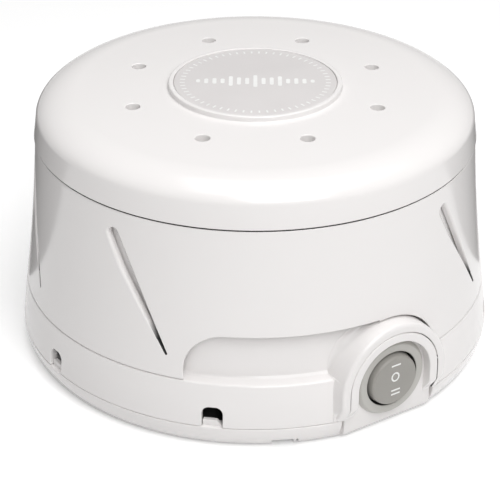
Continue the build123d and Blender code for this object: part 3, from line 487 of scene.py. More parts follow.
def ringTree(name, cuts):
    # copies of a piece round the upright axis; ringCut takes them out of the geometry that comes in
    tree = bpy.data.node_groups.new(name, "GeometryNodeTree")
    kinds = {"Geometry": "Geometry", "Piece": "Object", "Count": "Int", "Pitch": "Float", "Start": "Float"}
    for label, kind in {**kinds, "Finish": "Material"}.items():
        tree.interface.new_socket(label, in_out="INPUT", socket_type="NodeSocket" + kind)
    tree.interface.new_socket("Geometry", in_out="OUTPUT", socket_type="NodeSocketGeometry")
    given = added(tree, "NodeGroupInput").outputs
    index = added(tree, "GeometryNodeInputIndex").outputs[0]
    turns = {0: index, 1: given["Pitch"], 2: given["Start"]}
    turn = added(tree, "ShaderNodeMath", turns, operation="MULTIPLY_ADD").outputs[0]
    angle = added(tree, "ShaderNodeMath", {0: turn}, operation="RADIANS").outputs[0]
    euler = added(tree, "ShaderNodeCombineXYZ", {"Z": angle}).outputs[0]
    spin = added(tree, "FunctionNodeEulerToRotation", {0: euler}).outputs[0]
    dots = added(tree, "GeometryNodePoints", {"Count": given["Count"]}).outputs[0]
    shape = added(tree, "GeometryNodeObjectInfo", {"Object": given["Piece"]}).outputs["Geometry"]
    places = {"Points": dots, "Instance": shape, "Rotation": spin}
    whole = added(tree, "GeometryNodeInstanceOnPoints", places).outputs[0]
    if cuts:
        copies = added(tree, "GeometryNodeRealizeInstances", {0: whole}).outputs[0]
        whole = added(tree, "GeometryNodeMeshBoolean", operation="DIFFERENCE", solver="MANIFOLD")
        whole = filled(tree, whole, {"Mesh 1": given["Geometry"], "Mesh 2": copies}).outputs[0]
    real = added(tree, "GeometryNodeRealizeInstances", {0: whole}).outputs[0]
    paint = added(tree, "GeometryNodeSetMaterial", {"Geometry": real, "Material": given["Finish"]})
    added(tree, "NodeGroupOutput", {0: paint.outputs[0]})
    return tree


ringCut = ringTree("ringCut", True)
ringPattern = ringTree("ringPattern", False)


def aroundAxis(base, tree, piece, count, pitch, start, finish="white_gloss"):
    step = base.modifiers.new("ring", "NODES")
    step.node_group = tree
    values = {"Piece": piece, "Count": count, "Pitch": float(pitch), "Start": float(start)}
    values["Finish"] = finishes[finish]
    for item in tree.interface.items_tree:
        if item.in_out == "INPUT" and item.name in values:
            step[item.identifier] = values[item.name]
    bake(base)
    bpy.data.objects.remove(piece)
    return base


def pattern(name, piece, count, pitch, start, finish="white_gloss"):
    empty = bpy.data.objects.new(name, bpy.data.meshes.new(name))
    scene.collection.objects.link(empty)
    return aroundAxis(empty, ringPattern, piece, count, pitch, start, finish)


def smoothByAngle(piece, angle=34):
    mesh = piece.data
    mesh.polygons.foreach_set("use_smooth", [True] * len(mesh.polygons))
    mesh.set_sharp_from_angle(angle=radians(angle))
    return piece


def fetched(owner, name, width, kind=float):
    values = np.zeros(len(owner) * width, kind)
    owner.foreach_get(name, values)
    return values.reshape(-1, width) if width > 1 else values


def layRound(normals, spots):
    # normals (outward, up) of a turned outline at points round the axis
    (x, y), (outward, up) = spots.T[:2], normals.T
    away = np.maximum(np.hypot(x, y), 1e-6)
    return np.stack([outward * x / away, outward * y / away, up], 1)


def smoothTurned(piece, profile, touch=0.02, reach=12.0, sharp=20.0):
    # a face that still lies on the turned surface takes that surface's own normals; others go smooth by angle
    mesh = smoothByAngle(piece).data
    ends = np.roll(profile, -1, 0)
    lengths = np.linalg.norm(ends - profile, axis=1)
    unit = (ends - profile) / lengths[:, None]
    area = np.sum(profile[:, 0] * ends[:, 1] - ends[:, 0] * profile[:, 1])
    side = np.stack([unit[:, 1], -unit[:, 0]], 1) * (1 if area > 0 else -1)
    before = np.roll(side, 1, 0)
    soft = np.sum(side * before, 1) > cos(radians(sharp))
    average = (side + before) / np.maximum(np.linalg.norm(side + before, axis=1), 1e-9)[:, None]
    startNormal = np.where(soft[:, None], average, side)
    endNormal = np.where(np.roll(soft, -1)[:, None], np.roll(average, -1, 0), side)
    totals = fetched(mesh.polygons, "loop_total", 1, int)
    faceNormals = fetched(mesh.polygons, "normal", 3)
    corners = fetched(mesh.corner_normals, "vector", 3)
    spots = fetched(mesh.vertices, "co", 3)[fetched(mesh.loops, "vertex_index", 1, int)] / mm
    starts = np.concatenate([[0], np.cumsum(totals)[:-1]])
    middles = np.add.reduceat(spots, starts) / totals[:, None]
    flat = np.stack([np.hypot(middles[:, 0], middles[:, 1]), middles[:, 2]], 1)
    nearest, distance = np.zeros(len(flat), int), np.zeros(len(flat))
    for low in range(0, len(flat), 4000):
        part = slice(low, low + 4000)
        offsets = flat[part, None] - profile[None]
        share = np.clip(np.sum(offsets * unit[None], 2), 0, lengths[None])
        away = np.linalg.norm(offsets - unit[None] * share[..., None], axis=2)
        nearest[part] = np.argmin(away, 1)
        distance[part] = np.min(away, 1)
    lies = np.sum(layRound(side[nearest], middles) * faceNormals, 1) > cos(radians(reach))
    lies &= distance < touch
    faceOf = np.repeat(np.arange(len(totals)), totals)
    segment = nearest[faceOf]
    along = np.stack([np.hypot(spots[:, 0], spots[:, 1]), spots[:, 2]], 1) - profile[segment]
    share = np.clip(np.sum(along * unit[segment], 1) / lengths[segment], 0, 1)[:, None]
    bent = startNormal[segment] * (1 - share) + endNormal[segment] * share
    corners = np.where(lies[faceOf][:, None], layRound(bent, spots), corners)
    corners /= np.maximum(np.linalg.norm(corners, axis=1), 1e-9)[:, None]
    mesh.normals_split_custom_set([tuple(normal) for normal in corners])
    return piece


def painted(piece, finish):
    piece.data.materials.clear()
    piece.data.materials.append(finishes[finish])
    return piece


def shaded(piece, finish, test):
    # paints the faces that lie in shade inside the part with a finish of their own, as painted shade
    piece.data.materials.append(finishes[finish])
    for face in piece.data.polygons:
        across, along, up = face.center / mm
        if test(hypot(across, along), up, face.normal.z, degrees(atan2(across, -along))):
            face.material_index = len(piece.data.materials) - 1
    return piece


def placed(piece, body, slot, *nodes):
    if not any(piece.data.materials):
        painted(piece, slot)
    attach(piece, body)
    if nodes:
        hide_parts(*nodes)
    return piece


# heights and radii that more than one piece shares, in millimetres
rimRadius, roofHigh = radiusOf("inner_housing"), spanOf("inner_housing", 2)[1]
panLow, panelFace = spanOf("base_pan", 2)[0], -spanOf("base_pan", 1)[0]
skirtTopRadius = radiusOf("tone_collar")
collarLow, collarHigh = spanOf("tone_collar", 2)
capLow, capHigh = spanOf("top_cap", 2)
bezelRadius, switchUp = radiusOf("switch_body"), sum(spanOf("switch_body", 2)) / 2
badgeRadius, badgeSeat = radiusOf("badge_disc"), spanOf("badge_disc", 2)[0]

collarSizes = {
    "waistInset": 2.75, "waistRise": 21.2, "topInset": 4.9, "wall": 2.0, "edgeRound": 0.3,
    "slots": 7, "slotPitch": 45.0, "slotStart": 28.0, "slotRound": (0.1, 0.95), "slotDraft": 0.5,
    "slotTip": 0.38, "tipShade": 9.5, "tipDark": 4.8, "tipTurn": 11.0,
    "head": (-8.6, 7.45, 2.15), "bend": (-4.1, 15.95, 2.1), "tip": (10.0, 39.35, 0.3),
    "notchUp": 14.3, "notchLeft": -50.3, "notchReach": 48.0, "notchCorner": 11.5, "notchPlay": 0.6,
    "notchRound": 0.35,
}
collarPoints = (
    (skirtTopRadius, collarLow),
    (skirtTopRadius - collarSizes["waistInset"], collarLow + collarSizes["waistRise"]),
    (skirtTopRadius - collarSizes["topInset"], collarHigh),
)
collarCentre, collarBow = circleThrough(*collarPoints)


def collarRadius(up):
    up = max(collarLow, min(collarHigh, up))
    return collarCentre[0] - sqrt(collarBow ** 2 - (up - collarCentre[1]) ** 2)


def slotCircles():
    # head, bend and tip of a slot: (across, up, radius)
    return [(x, collarHigh - drop, r) for x, drop, r in (collarSizes[k] for k in ("head", "bend", "tip"))]


panelSizes = {
    "band": 2.7, "recessPlay": 0.75, "recessDepth": 3.1, "depth": 5.3, "slopeRise": 4.3, "toeRound": 2.0,
    "edgeRound": 0.35, "lastInset": 0.15, "gap": 0.25, "groove": 0.9, "grooveRound": 0.5, "grooveFace": 68.8,
    "bossWall": 2.6, "bossRound": 0.9, "bossBack": 57.3, "bossInner": 1.6, "bossWiden": 0.93,
    "bossWidenUp": (26.0, 8.8), "blend": 0.3, "blendTop": 1.0, "blendLeft": 2.4, "blendRise": (0.8, 8.0),
    "blendSkirt": 0.35, "blendSteps": 6, "cone": 3.2, "coneRise": 6.1,
}
panHeight, seam, ledgeSeam, floorWall = 6.4, 0.15, 0.25, 2.2
undercut, bulge, bellyShare = 2.6, 0.45, 0.42
rimHigh = panLow + panHeight
skirtLow = rimHigh + seam
skirtHigh = collarLow - ledgeSeam
floorHigh = panLow + floorWall
panelBack = panelFace - panelSizes["depth"]
recessFace = panelFace - panelSizes["recessDepth"]
recessRadius = bezelRadius + panelSizes["recessPlay"]
panelRadius = recessRadius + panelSizes["band"]
cavityRadius = panelRadius + panelSizes["gap"]
bossRadius = cavityRadius + panelSizes["bossWall"]


def crownTurns(radius, *stops, count=72):
    # turns of an arch's points from its left side to its right one, with some at the heights given
    turns = [k * pi / count for k in range(count + 1)]
    for up in stops:
        turn = asin((up - switchUp) / radius)
        turns += [turn, pi - turn]
    return sorted(turns)


def archPath(radius, levels, turns=crownTurns(1.0)):
    # open line of an arch over the switch: up its left side, over its top and down its right side
    left = [(-radius, up) for up in levels]
    top = [(-radius * cos(turn), switchUp + radius * sin(turn)) for turn in turns]
    return np.array(left + top + [(-x, up) for x, up in left[::-1]], float)


def levelsFrom(low, *more, step=0.6):
    stops = [low, *more, switchUp]
    levels = []
    for start, end in zip(stops, stops[1:]):
        count = max(1, ceil((end - start) / step))
        levels += [start + (end - start) * k / count for k in range(count)]
    return levels


def rimCurve(count=16):
    belly = (rimRadius - undercut / 2 + bulge, panLow + panHeight * bellyShare)
    return curveThrough((rimRadius - undercut, panLow), belly, (rimRadius, rimHigh), count)


rimCentre, rimBow = circleThrough(*rimCurve(2))


def rimAt(up):
    up = max(panLow, min(rimHigh, up))
    return rimCentre[0] + sqrt(rimBow ** 2 - (up - rimCentre[1]) ** 2)


def panelFront(up):
    # how far forward the panel stands at a height: upright face, slope, upright foot and rounded toe
    p = panelSizes
    share = (up - rimHigh) / p["slopeRise"]
    if share >= 0:
        return recessFace + min(1.0, share) * p["recessDepth"]
    drop = max(0.0, panLow + p["toeRound"] - up)
    return recessFace - p["toeRound"] + sqrt(max(0.0, p["toeRound"] ** 2 - drop ** 2))


def bossFront(across, up):
    p = panelSizes
    reach = rimRadius + p["cone"] * (up - rimHigh) / p["coneRise"]
    return min(panelFace, sqrt(reach ** 2 - across ** 2))


def makeCollar():
    c = collarSizes
    curve = curveThrough(*collarPoints, 40)
    inner = [(r - c["wall"], z) for r, z in reversed(curve)]
    edge = c["edgeRound"]
    corners = [(*curve[0], edge)] + curve[1:-1] + [(*curve[-1], edge), (*inner[0], edge)] + inner[1:-1]
    profile = rounded(corners + [(*inner[-1], edge)], step=1.2, arcStep=22.5)
    collar = turned("tone_collar_shell", profile)
    beside = archPath(bossRadius + c["notchPlay"], levelsFrom(skirtLow, step=2.0))
    cutAway(collar, wallCutter("besideBoss", beside, collarRadius, c["notchRound"]))
    half = collarPoints[1][0] * sin(radians(c["notchReach"] / 2))
    shape = rectangle((-half, half), (skirtLow, collarLow + c["notchUp"]))
    shape[3] = (*shape[3][:2], c["notchCorner"])
    notch = wallCutter("notch", rounded(shape, arcStep=4.0), collarRadius, c["notchRound"])
    cutAway(collar, spun(notch, c["notchLeft"] + c["notchReach"] / 2))
    narrow = [(x, up, max(c["slotTip"], r - c["slotDraft"])) for x, up, r in slotCircles()]
    outline = hullOutline(narrow)
    (_, bendUp, _), (_, tipUp, _) = narrow[1:]
    flare = np.interp(outline[:, 1], (tipUp, bendUp), c["slotRound"])
    blade = wallCutter("slot", outline, collarRadius, flare)
    aroundAxis(collar, ringCut, blade, c["slots"], c["slotPitch"], c["slotStart"])
    smoothTurned(collar, profile)
    low = tipUp - 1.0
    # painted shade: the slot tips go dark towards their narrow lower end
    finishes["tip"] = fadedShade("slotTipShade", low + c["tipDark"], low + c["tipShade"])

    def inPaintedTipShade(away, up, faces, turn):
        beside, depth = (turn - c["slotStart"]) % c["slotPitch"], collarRadius(up) - away
        return low < up < low + c["tipShade"] and 0.2 < depth < c["wall"] - 0.05 and beside < c["tipTurn"]

    shaded(collar, "tip", inPaintedTipShade)
    # painted shade: the collar's top face goes near black, as the shadow line under the cap
    shaded(collar, "inner", lambda away, up, faces, turn: up > collarHigh - 0.02 and faces > 0.9)
    return placed(collar, "collar", "white_gloss", "tone_collar")


makeCollar()
print("collar ready")

capSizes = {
    "draft": 0.9, "side": 6.1, "shoulderWidth": 12.8, "shoulderHeight": 6.4, "crownRise": 0.75,
    "crownBulge": 0.08, "ringWidth": 1.5, "ringRound": 0.5, "ringFoot": 0.35, "badgePlay": 0.15, "wall": 2.2,
    "edgeRound": 0.35, "holes": 8, "holeRing": 38.7, "holeRadius": 2.1, "holeStart": -10.6, "holeRound": 0.35,
    "hubRadius": 7.95, "hubWall": 2.0, "hookReach": 0.9, "hookHeight": 1.2, "hookPlay": 0.2, "hookSlit": 1.6,
    "hookPlate": 2.0, "ribRadius": 15.0, "ribWidth": 2.0, "roofGap": 0.6,
}


def shoulderArc(inset, count=22):
    c = capSizes
    centre = (radiusOf("top_cap") - c["draft"] - c["shoulderWidth"], capLow + c["side"])
    return arcPoints(centre, c["shoulderWidth"] - inset, c["shoulderHeight"] - inset, 0, 90, count)


def crownHeight(radius):
    # upper face of the cap between its shoulder and the raised ring
    c = capSizes
    start = shoulderArc(0)[-1]
    ring = badgeRadius + c["badgePlay"] + c["ringWidth"]
    share = (start[0] - radius) / (start[0] - ring)
    return start[1] + c["crownRise"] * share + 4 * c["crownBulge"] * share * (1 - share)


def makeCap():
    c = capSizes
    radius, wall, edge = radiusOf("top_cap"), c["wall"], c["edgeRound"]
    ringIn = badgeRadius + c["badgePlay"]
    ringOut = ringIn + c["ringWidth"]
    under = shoulderArc(wall)[-1][1]
    crown = [(r, crownHeight(r)) for r in np.linspace(shoulderArc(0)[-1][0], ringOut, 10)[1:-1]]
    hookTop = roofHigh - c["hookPlate"] - c["hookPlay"]
    hookLow = hookTop - c["hookHeight"]
    hub, hook, bore = c["hubRadius"], c["hubRadius"] + c["hookReach"], c["hubRadius"] - c["hubWall"]
    rib, ribEnd = c["ribRadius"], c["ribRadius"] + c["ribWidth"]
    corners = [(radius, capLow, edge)] + shoulderArc(0) + crown
    corners += [
        (ringOut, crownHeight(ringOut), c["ringFoot"]), (ringOut, capHigh, c["ringRound"]),
        (ringIn, capHigh, 0.25), (ringIn, badgeSeat), (0, badgeSeat), (0, badgeSeat - wall),
        (bore, badgeSeat - wall), (bore, hookLow, 0.2), (hub, hookLow),
        (hook, hookLow + 0.4 * c["hookHeight"], 0.2),
        (hook, hookTop), (hub, hookTop), (hub, under, 0.5), (rib, under, 0.5),
        (rib, roofHigh, 0.3), (ribEnd, roofHigh, 0.3), (ribEnd, under, 0.5),
    ]
    corners += shoulderArc(wall)[::-1]
    corners += [(radius - wall, capLow, 0.3)]
    profile = rounded(corners, step=60.0, arcStep=22.5)
    cap = turned("top_cap_shell", profile)
    outline = ringOutline(c["holeRadius"], 0, -c["holeRing"])
    hole = plateCutter("airHole", outline, crownHeight, c["holeRound"], under - 1.0, capHigh + 5.0)
    aroundAxis(cap, ringCut, hole, c["holes"], 360 / c["holes"], c["holeStart"])
    reach, half = hook + 1.0, c["hookSlit"] / 2
    slit = boxPiece("slit", (0.5, reach), (-half, half), (hookLow - 1.0, roofHigh + c["hookPlay"]))
    aroundAxis(cap, ringCut, slit, 4, 90.0, 0.0)
    smoothTurned(cap, profile)
    return placed(cap, "cap", "white_gloss", "top_cap")


makeCap()
print("cap ready")

housingSizes = {
    "skirtWall": 2.2, "drumWall": 2.0, "gapLow": 2.0, "gapHigh": 0.45, "ledgeRound": 0.8, "cove": 1.5,
    "edgeRound": 0.25, "hollow": 64.3, "hollowHigh": 35.5, "cavityBack": 40.15, "openingLow": -5.0,
    "roofShade": 50.0,
    "archStarts": (-132.6, 47.4), "arches": 3, "archPitch": 45.0, "archWidth": 6.1, "archHeight": 6.2,
    "archCorner": 2.2, "archRound": 0.25, "archBack": 67.0,
    "windows": 7, "windowPitch": 45.0, "windowStart": 50.5, "windowRise": 19.0, "windowTip": 1.3,
    "windowGrow": 0.2, "windowRound": 0.3,
    "topHoles": 8, "topHoleRadius": 2.8, "topHoleStart": 11.9, "topHoleRound": 0.2,
    "screwBoss": 3.8, "screwHole": 1.55, "screwDepth": 11.5, "rib": 0.8, "ribInset": 1.1, "ribRise": 5.0,
    "inletUp": 14.2, "inletHole": 4.0, "inletPocket": 5.55, "inletFace": 71.45, "inletDeep": (60.0, 80.0),
}
screwRing, screwStart = 61.0, 45.0
drumLow = skirtTopRadius - collarSizes["wall"] - housingSizes["gapLow"]
drumHigh = skirtTopRadius - collarSizes["topInset"] - collarSizes["wall"] - housingSizes["gapHigh"]


def between(value, start, end):
    return max(0.0, min(1.0, (value - start) / (end - start)))


def skirtAt(up):
    return rimRadius - (rimRadius - skirtTopRadius) * between(up, skirtLow, skirtHigh)


def drumAt(up):
    foot = skirtHigh + housingSizes["cove"]
    return drumLow - (drumLow - drumHigh) * between(up, foot, collarHigh)


def bossBlend(across, up):
    # radius of the hollow curve between the boss and what it stands on: widest high up on the left
    p = panelSizes
    if up < skirtHigh:
        return p["blendSkirt"]
    reach = p["blendTop"] + p["blendLeft"] * max(0.0, -across / bossRadius)
    low, high = p["blendRise"]
    return p["blend"] + (reach - p["blend"]) * between(up, skirtHigh + low, skirtHigh + high)


def bossWall(spot, side):
    # points of one line down the boss: from inside the drum over the hollow curve and out to the front
    p, (across, up) = panelSizes, spot
    under = skirtAt if up < skirtHigh else drumAt
    widen, nudge = p["bossWiden"] * between(up, *p["bossWidenUp"]), 0.5

    def forward(shift):
        x, z = across + side[0] * shift, up + side[1] * shift
        return sqrt(under(z) ** 2 - x * x)

    start = forward(widen)
    slope = (forward(widen + nudge) - start) / nudge
    radius = bossBlend(across, up)
    length = sqrt(1 + slope * slope)
    centre = (widen + radius, start + slope * radius + radius * length)
    first = atan2(-1 / length, slope / length)
    line = [(centre[0] + radius * cos(first), p["bossBack"])]
    line.append((line[0][0], centre[1] + radius * sin(first) - 0.5))
    steps = p["blendSteps"]
    for k in range(steps + 1):
        turn = first + (-pi - first) * k / steps
        line.append((centre[0] + radius * cos(turn), centre[1] + radius * sin(turn)))
    roundness = p["bossRound"]
    line.append((0.0, bossFront(across, up) - roundness - 0.2))
    for inset, drop in roundSteps(roundness):
        line.append((-inset, bossFront(across - side[0] * inset, up - side[1] * inset) - drop))
    inset = roundness + p["lastInset"]
    line.append((-inset, bossFront(across - side[0] * inset, up - side[1] * inset)))
    return line


def sideOf(across, up):
    if up <= switchUp:
        return (copysign(1.0, across), 0.0)
    away = hypot(across, up - switchUp)
    return (across / away, (up - switchUp) / away)


def makeBoss():
    levels, turns = levelsFrom(skirtLow), crownTurns(bossRadius, skirtHigh - 0.05, skirtHigh + 0.05)
    outerPath = archPath(bossRadius, levels, turns)
    innerPath = archPath(cavityRadius - panelSizes["bossInner"], levels, turns)
    lines = [bossWall(spot, sideOf(*spot)) for spot in outerPath]
    steps = len(lines[0])
    rings = []
    for k in range(steps):
        ring = []
        for spot, line in zip(outerPath, lines):
            side = sideOf(*spot)
            shift, forward = line[k]
            ring.append((spot[0] + side[0] * shift, -forward, max(skirtLow, spot[1] + side[1] * shift)))
        back, share = panelSizes["bossBack"], k / (steps - 1)
        ring += [(x, -(back + (bossFront(x, z) - back) * share), z) for x, z in innerPath[::-1]]
        rings.append(ring)
    return bowed("boss", rings)


def archCutter(name, radius, levels, frontAt, roundness, inside):
    # cutter of an arched opening, with a round edge along a front face that may slope
    rings = [[(x, -inside, z) for x, z in archPath(radius, levels)]]
    for k, (grow, depth) in enumerate(flareSteps(roundness)):
        path = archPath(radius + grow, levels)
        rings.append([(x, -max(inside + 0.002 * (k + 1), frontAt(x, z) - depth), z) for x, z in path])
    rings.append([(x, -outside, z) for x, z in path])
    return bowed(name, rings)


def makeShell():
    h, c = housingSizes, capSizes
    outer = c["wall"] + c["roofGap"]
    arcOut, arcIn = shoulderArc(outer), shoulderArc(outer + h["drumWall"])
    roofLow, ledgeLow, edge = roofHigh - h["drumWall"], skirtHigh - h["skirtWall"], h["edgeRound"]
    hub = c["hubRadius"] + 0.05
    corners = [(rimRadius, skirtLow, edge), (skirtTopRadius, skirtHigh, h["ledgeRound"])]
    corners += [(drumLow, skirtHigh, h["cove"]), (drumHigh, collarHigh)] + arcOut
    corners += [(hub, roofHigh, 0.3), (hub, roofLow, 0.2)] + arcIn[::-1]
    corners += [(drumHigh - h["drumWall"], collarHigh), (drumLow - h["drumWall"], skirtHigh + h["cove"])]
    corners += [(drumLow - h["drumWall"], ledgeLow), (skirtTopRadius - h["skirtWall"], ledgeLow, 0.5)]
    corners += [(rimRadius - h["skirtWall"], skirtLow, 0.2)]
    profile = rounded(corners, step=80.0, arcStep=22.5)
    housing = turned("inner_housing_shell", profile)
    joined(housing, makeBoss())
    levels = levelsFrom(h["openingLow"], skirtLow)
    cutAway(housing, archCutter("panelOpening", cavityRadius, levels, bossFront, edge, h["cavityBack"]))
    cutAway(housing, rod("hollow", h["hollow"], 0.0, h["hollowHigh"], 360))
    return housing, profile


def makeScrewPosts():
    h, ledgeLow = housingSizes, skirtHigh - housingSizes["skirtWall"]
    low, high = floorHigh + seam, skirtHigh + h["screwBoss"]
    hole = h["screwHole"]
    post = [(hole, low), (h["screwBoss"], low, 0.3), (h["screwBoss"], high, 0.5), (0, high)]
    post += [(0, low + h["screwDepth"]), (hole, low + h["screwDepth"])]
    post = shifted(turned("screwBoss", rounded(post, step=60.0), 48), y=-screwRing)
    ribBack, ribLow = skirtTopRadius - h["ribInset"], rimHigh + h["ribRise"]
    rib = boxPiece("rib", (-h["rib"], h["rib"]), (-ribBack, -screwRing - 2.0), (ribLow, ledgeLow + 1.1))
    joined(post, rib)
    return pattern("screwBosses", post, 4, 90.0, screwStart)


def cutWindows(housing):
    h = housingSizes
    (headX, headUp, headR), (bendX, bendUp, bendR), (tipX, tipUp, _) = slotCircles()
    windowUp = collarLow + h["windowRise"]
    windowX = bendX + (tipX - bendX) * (bendUp - windowUp) / (bendUp - tipUp)
    circles = [(headX, headUp, headR), (bendX, bendUp, bendR), (windowX, windowUp, h["windowTip"])]
    outline = hullOutline([(x, up, radius + h["windowGrow"]) for x, up, radius in circles])
    window = wallCutter("window", outline, drumAt, h["windowRound"])
    aroundAxis(housing, ringCut, window, h["windows"], h["windowPitch"], h["windowStart"])


def makeHousing():
    h, roofLow = housingSizes, roofHigh - housingSizes["drumWall"]
    housing, profile = makeShell()
    joined(housing, makeScrewPosts())
    half, top = h["archWidth"] / 2, skirtLow + h["archHeight"]
    shape = rounded(rectangle((-half, half), (-1.0, top), high=h["archCorner"]), arcStep=9.0)
    for start in h["archStarts"]:
        arch = wallCutter("airArch", shape, skirtAt, h["archRound"], h["archBack"])
        aroundAxis(housing, ringCut, arch, h["arches"], h["archPitch"], start)
    cutWindows(housing)
    outline, ends = ringOutline(h["topHoleRadius"], 0, -capSizes["holeRing"]), (roofLow - 2.0, roofHigh + 4.0)
    hole = plateCutter("topHole", outline, lambda away: roofHigh, h["topHoleRound"], *ends)
    aroundAxis(housing, ringCut, hole, h["topHoles"], 360 / h["topHoles"], h["topHoleStart"])
    bore, pocket, (deep, out) = h["inletHole"], h["inletPocket"], h["inletDeep"]
    face = h["inletFace"]
    inlet = [(0, deep), (bore, deep), (bore, face), (pocket, face), (pocket, out), (0, out)]
    cutAway(housing, facing(turned("inlet", inlet, 64), h["inletUp"], -90))
    smoothTurned(housing, profile)

    # painted shade: the shell's inside faces go near black, and the roof's top face under the cap goes grey
    def inPaintedShade(away, up, faces, turn):
        wall = skirtAt(up) - h["skirtWall"] if up < skirtHigh else drumAt(up) - h["drumWall"]
        return away < wall + 0.3 and up < roofLow + 0.1


    def onPaintedRoofShade(away, up, faces, turn):
        return away < h["roofShade"] and up > roofHigh - 0.02 and faces > 0.9

    shaded(housing, "inner", inPaintedShade)
    shaded(housing, "roof", onPaintedRoofShade)
    return placed(housing, "base", "white_gloss", "inner_housing")


makeHousing()
print("housing ready")

panSizes = {
    "edgeRound": 0.2, "footRound": 0.3, "lipRadius": 70.4, "lipTop": 9.6, "lipTaper": 0.2, "lipWall": 1.6,
    "ribs": (18.0, 42.0), "ribWidth": 1.4, "ribTop": 4.9, "lipClear": 18.6, "lipBack": 60.2, "mouthTop": 12.0,
    "panelWall": 1.6, "switchHole": 10.1, "switchBack": 40.15, "top": 40.0,
    "tongueHalf": 2.8, "tongueLow": 5.8, "tongueTop": 9.0, "tongueSlope": 0.45, "tongueBack": 70.6,
    "tongueFront": 71.73, "notchHalf": 3.6, "notchBack": 66.0,
    "postX": 29.5, "postRadius": 4.6, "postFoot": 6.0, "postFootHigh": 5.0, "postTop": 21.3, "postRib": 8.0,
    "postRibHalf": 0.7, "postRibTop": 13.9, "postHole": 1.75, "postHoleLow": 12.8, "sunk": 1.1,
    "pryAngle": -26.6, "pryHalf": 3.15, "pryTop": 2.6, "pryBack": 68.8, "slit": (3.85, 4.55),
    "slitBack": 67.6, "screwHead": 3.2, "screwSeat": 1.5, "footPad": 5.1, "footTop": 1.7,
}
footRing, footStart = 56.0, 30.0
below = -1.0  # cutters from under the machine start there


def panelSoft(up, reach=0.8):
    # the panel's front with the bends of its slope rounded off
    if up < rimHigh - reach:
        return panelFront(up)
    return sum(panelFront(up + reach * k / 4) for k in range(-4, 5)) / 9


def makePanel():
    p = panelSizes
    toe = [panLow + p["toeRound"] * (1 - cos(radians(t))) for t in range(0, 90, 15)]
    levels = toe + levelsFrom(panLow + p["toeRound"], rimHigh, rimHigh + p["slopeRise"], step=0.45)
    rings = [[(x, -panelBack, z) for x, z in archPath(panelRadius, levels)]]
    for k, (inset, depth) in enumerate([*roundSteps(p["edgeRound"]), (p["edgeRound"] + p["lastInset"], 0.0)]):
        path, back = archPath(panelRadius - inset, levels), panelBack + 0.01 * (k + 1)
        rings.append([(x, -max(back, panelSoft(z) - depth), z) for x, z in path])
    panel = bowed("panel", rings)
    levels = levelsFrom(below, panLow, rimHigh, rimHigh + p["slopeRise"], step=0.45)
    edge, back = p["edgeRound"], recessFace - 0.02
    cutAway(panel, archCutter("recess", recessRadius, levels, lambda x, z: panelSoft(z), edge, back))
    outline = ringOutline(panSizes["switchHole"], 0, switchUp, 96)
    return cutAway(panel, prism("switchHole", outline, outside, panSizes["switchBack"]))


def makePanShell():
    p, q = panSizes, panelSizes
    lipIn, lipTop = p["lipRadius"] - p["lipWall"], p["lipTop"]
    corners = [(0, panLow), (rimRadius - undercut, panLow, p["footRound"])] + rimCurve()[1:-1]
    corners += [(rimRadius, rimHigh, p["edgeRound"]), (p["lipRadius"], rimHigh)]
    corners += [(p["lipRadius"] - p["lipTaper"], lipTop, 0.2), (lipIn, lipTop, 0.2), (lipIn, floorHigh, 0.5)]
    for radius in p["ribs"][::-1]:
        outer, top = radius + p["ribWidth"], p["ribTop"]
        corners += [(outer, floorHigh, 0.3), (outer, top, 0.2), (radius, top, 0.2), (radius, floorHigh, 0.3)]
    profile = rounded(corners + [(0, floorHigh)], step=80.0, arcStep=22.5)
    pan = turned("base_pan_shell", profile)
    wide, half, clear = panelRadius + q["groove"], panelRadius - 0.15, p["lipClear"]
    mouth = rounded(rectangle((-wide, wide), (below, p["mouthTop"])))
    cutAway(pan, wallCutter("panelMouth", mouth, rimAt, q["grooveRound"], q["grooveFace"]))
    behind = (-outside, -panelBack + p["panelWall"])
    cutAway(pan, boxPiece("behind", (-half, half), behind, (floorHigh, p["top"])))
    cutAway(pan, boxPiece("beside", (-clear, clear), (-outside, -p["lipBack"]), (rimHigh, p["top"])))
    joined(pan, makePanel())
    return pan, profile


def addTongues(pan):
    # tongues behind the air arches, in notches of the lip
    p, h = panSizes, housingSizes
    half, top, n = p["tongueHalf"], p["tongueTop"], p["notchHalf"]
    shape = [(-half, p["tongueLow"]), (half, p["tongueLow"]), (half, rimHigh)]
    shape += [(half * p["tongueSlope"], top, 0.3), (-half, top, 0.3)]
    for start in h["archStarts"]:
        across = (-p["lipRadius"] - 1.0, -p["notchBack"])
        notch = boxPiece("notch", (-n, n), across, (rimHigh, p["lipTop"] + 1.0))
        aroundAxis(pan, ringCut, notch, h["arches"], h["archPitch"], start)
    for start in h["archStarts"]:
        tongue = prism("tongue", rounded(shape, step=60.0), p["tongueFront"], p["tongueBack"])
        joined(pan, pattern("tongues", tongue, h["arches"], h["archPitch"], start))


def addPosts(pan):
    # posts that carry the motor
    p = panSizes
    sunk, r, foot = floorHigh - p["sunk"], p["postRadius"], p["postFoot"]
    corners = [(0, sunk), (foot, sunk), (foot, floorHigh), (r, floorHigh + p["postFootHigh"])]
    corners += [(r, p["postTop"], 0.4), (0, p["postTop"])]
    post = turned("post", rounded(corners, step=60.0), 72)
    for a, b in ((p["postRib"], p["postRibHalf"]), (p["postRibHalf"], p["postRib"])):
        joined(post, boxPiece("postRib", (-a, a), (-b, b), (sunk, p["postRibTop"])))
    cutAway(post, rod("postHole", p["postHole"], p["postHoleLow"], p["top"], 48))
    joined(pan, pattern("posts", shifted(post, x=p["postX"]), 2, 180.0, 0.0))


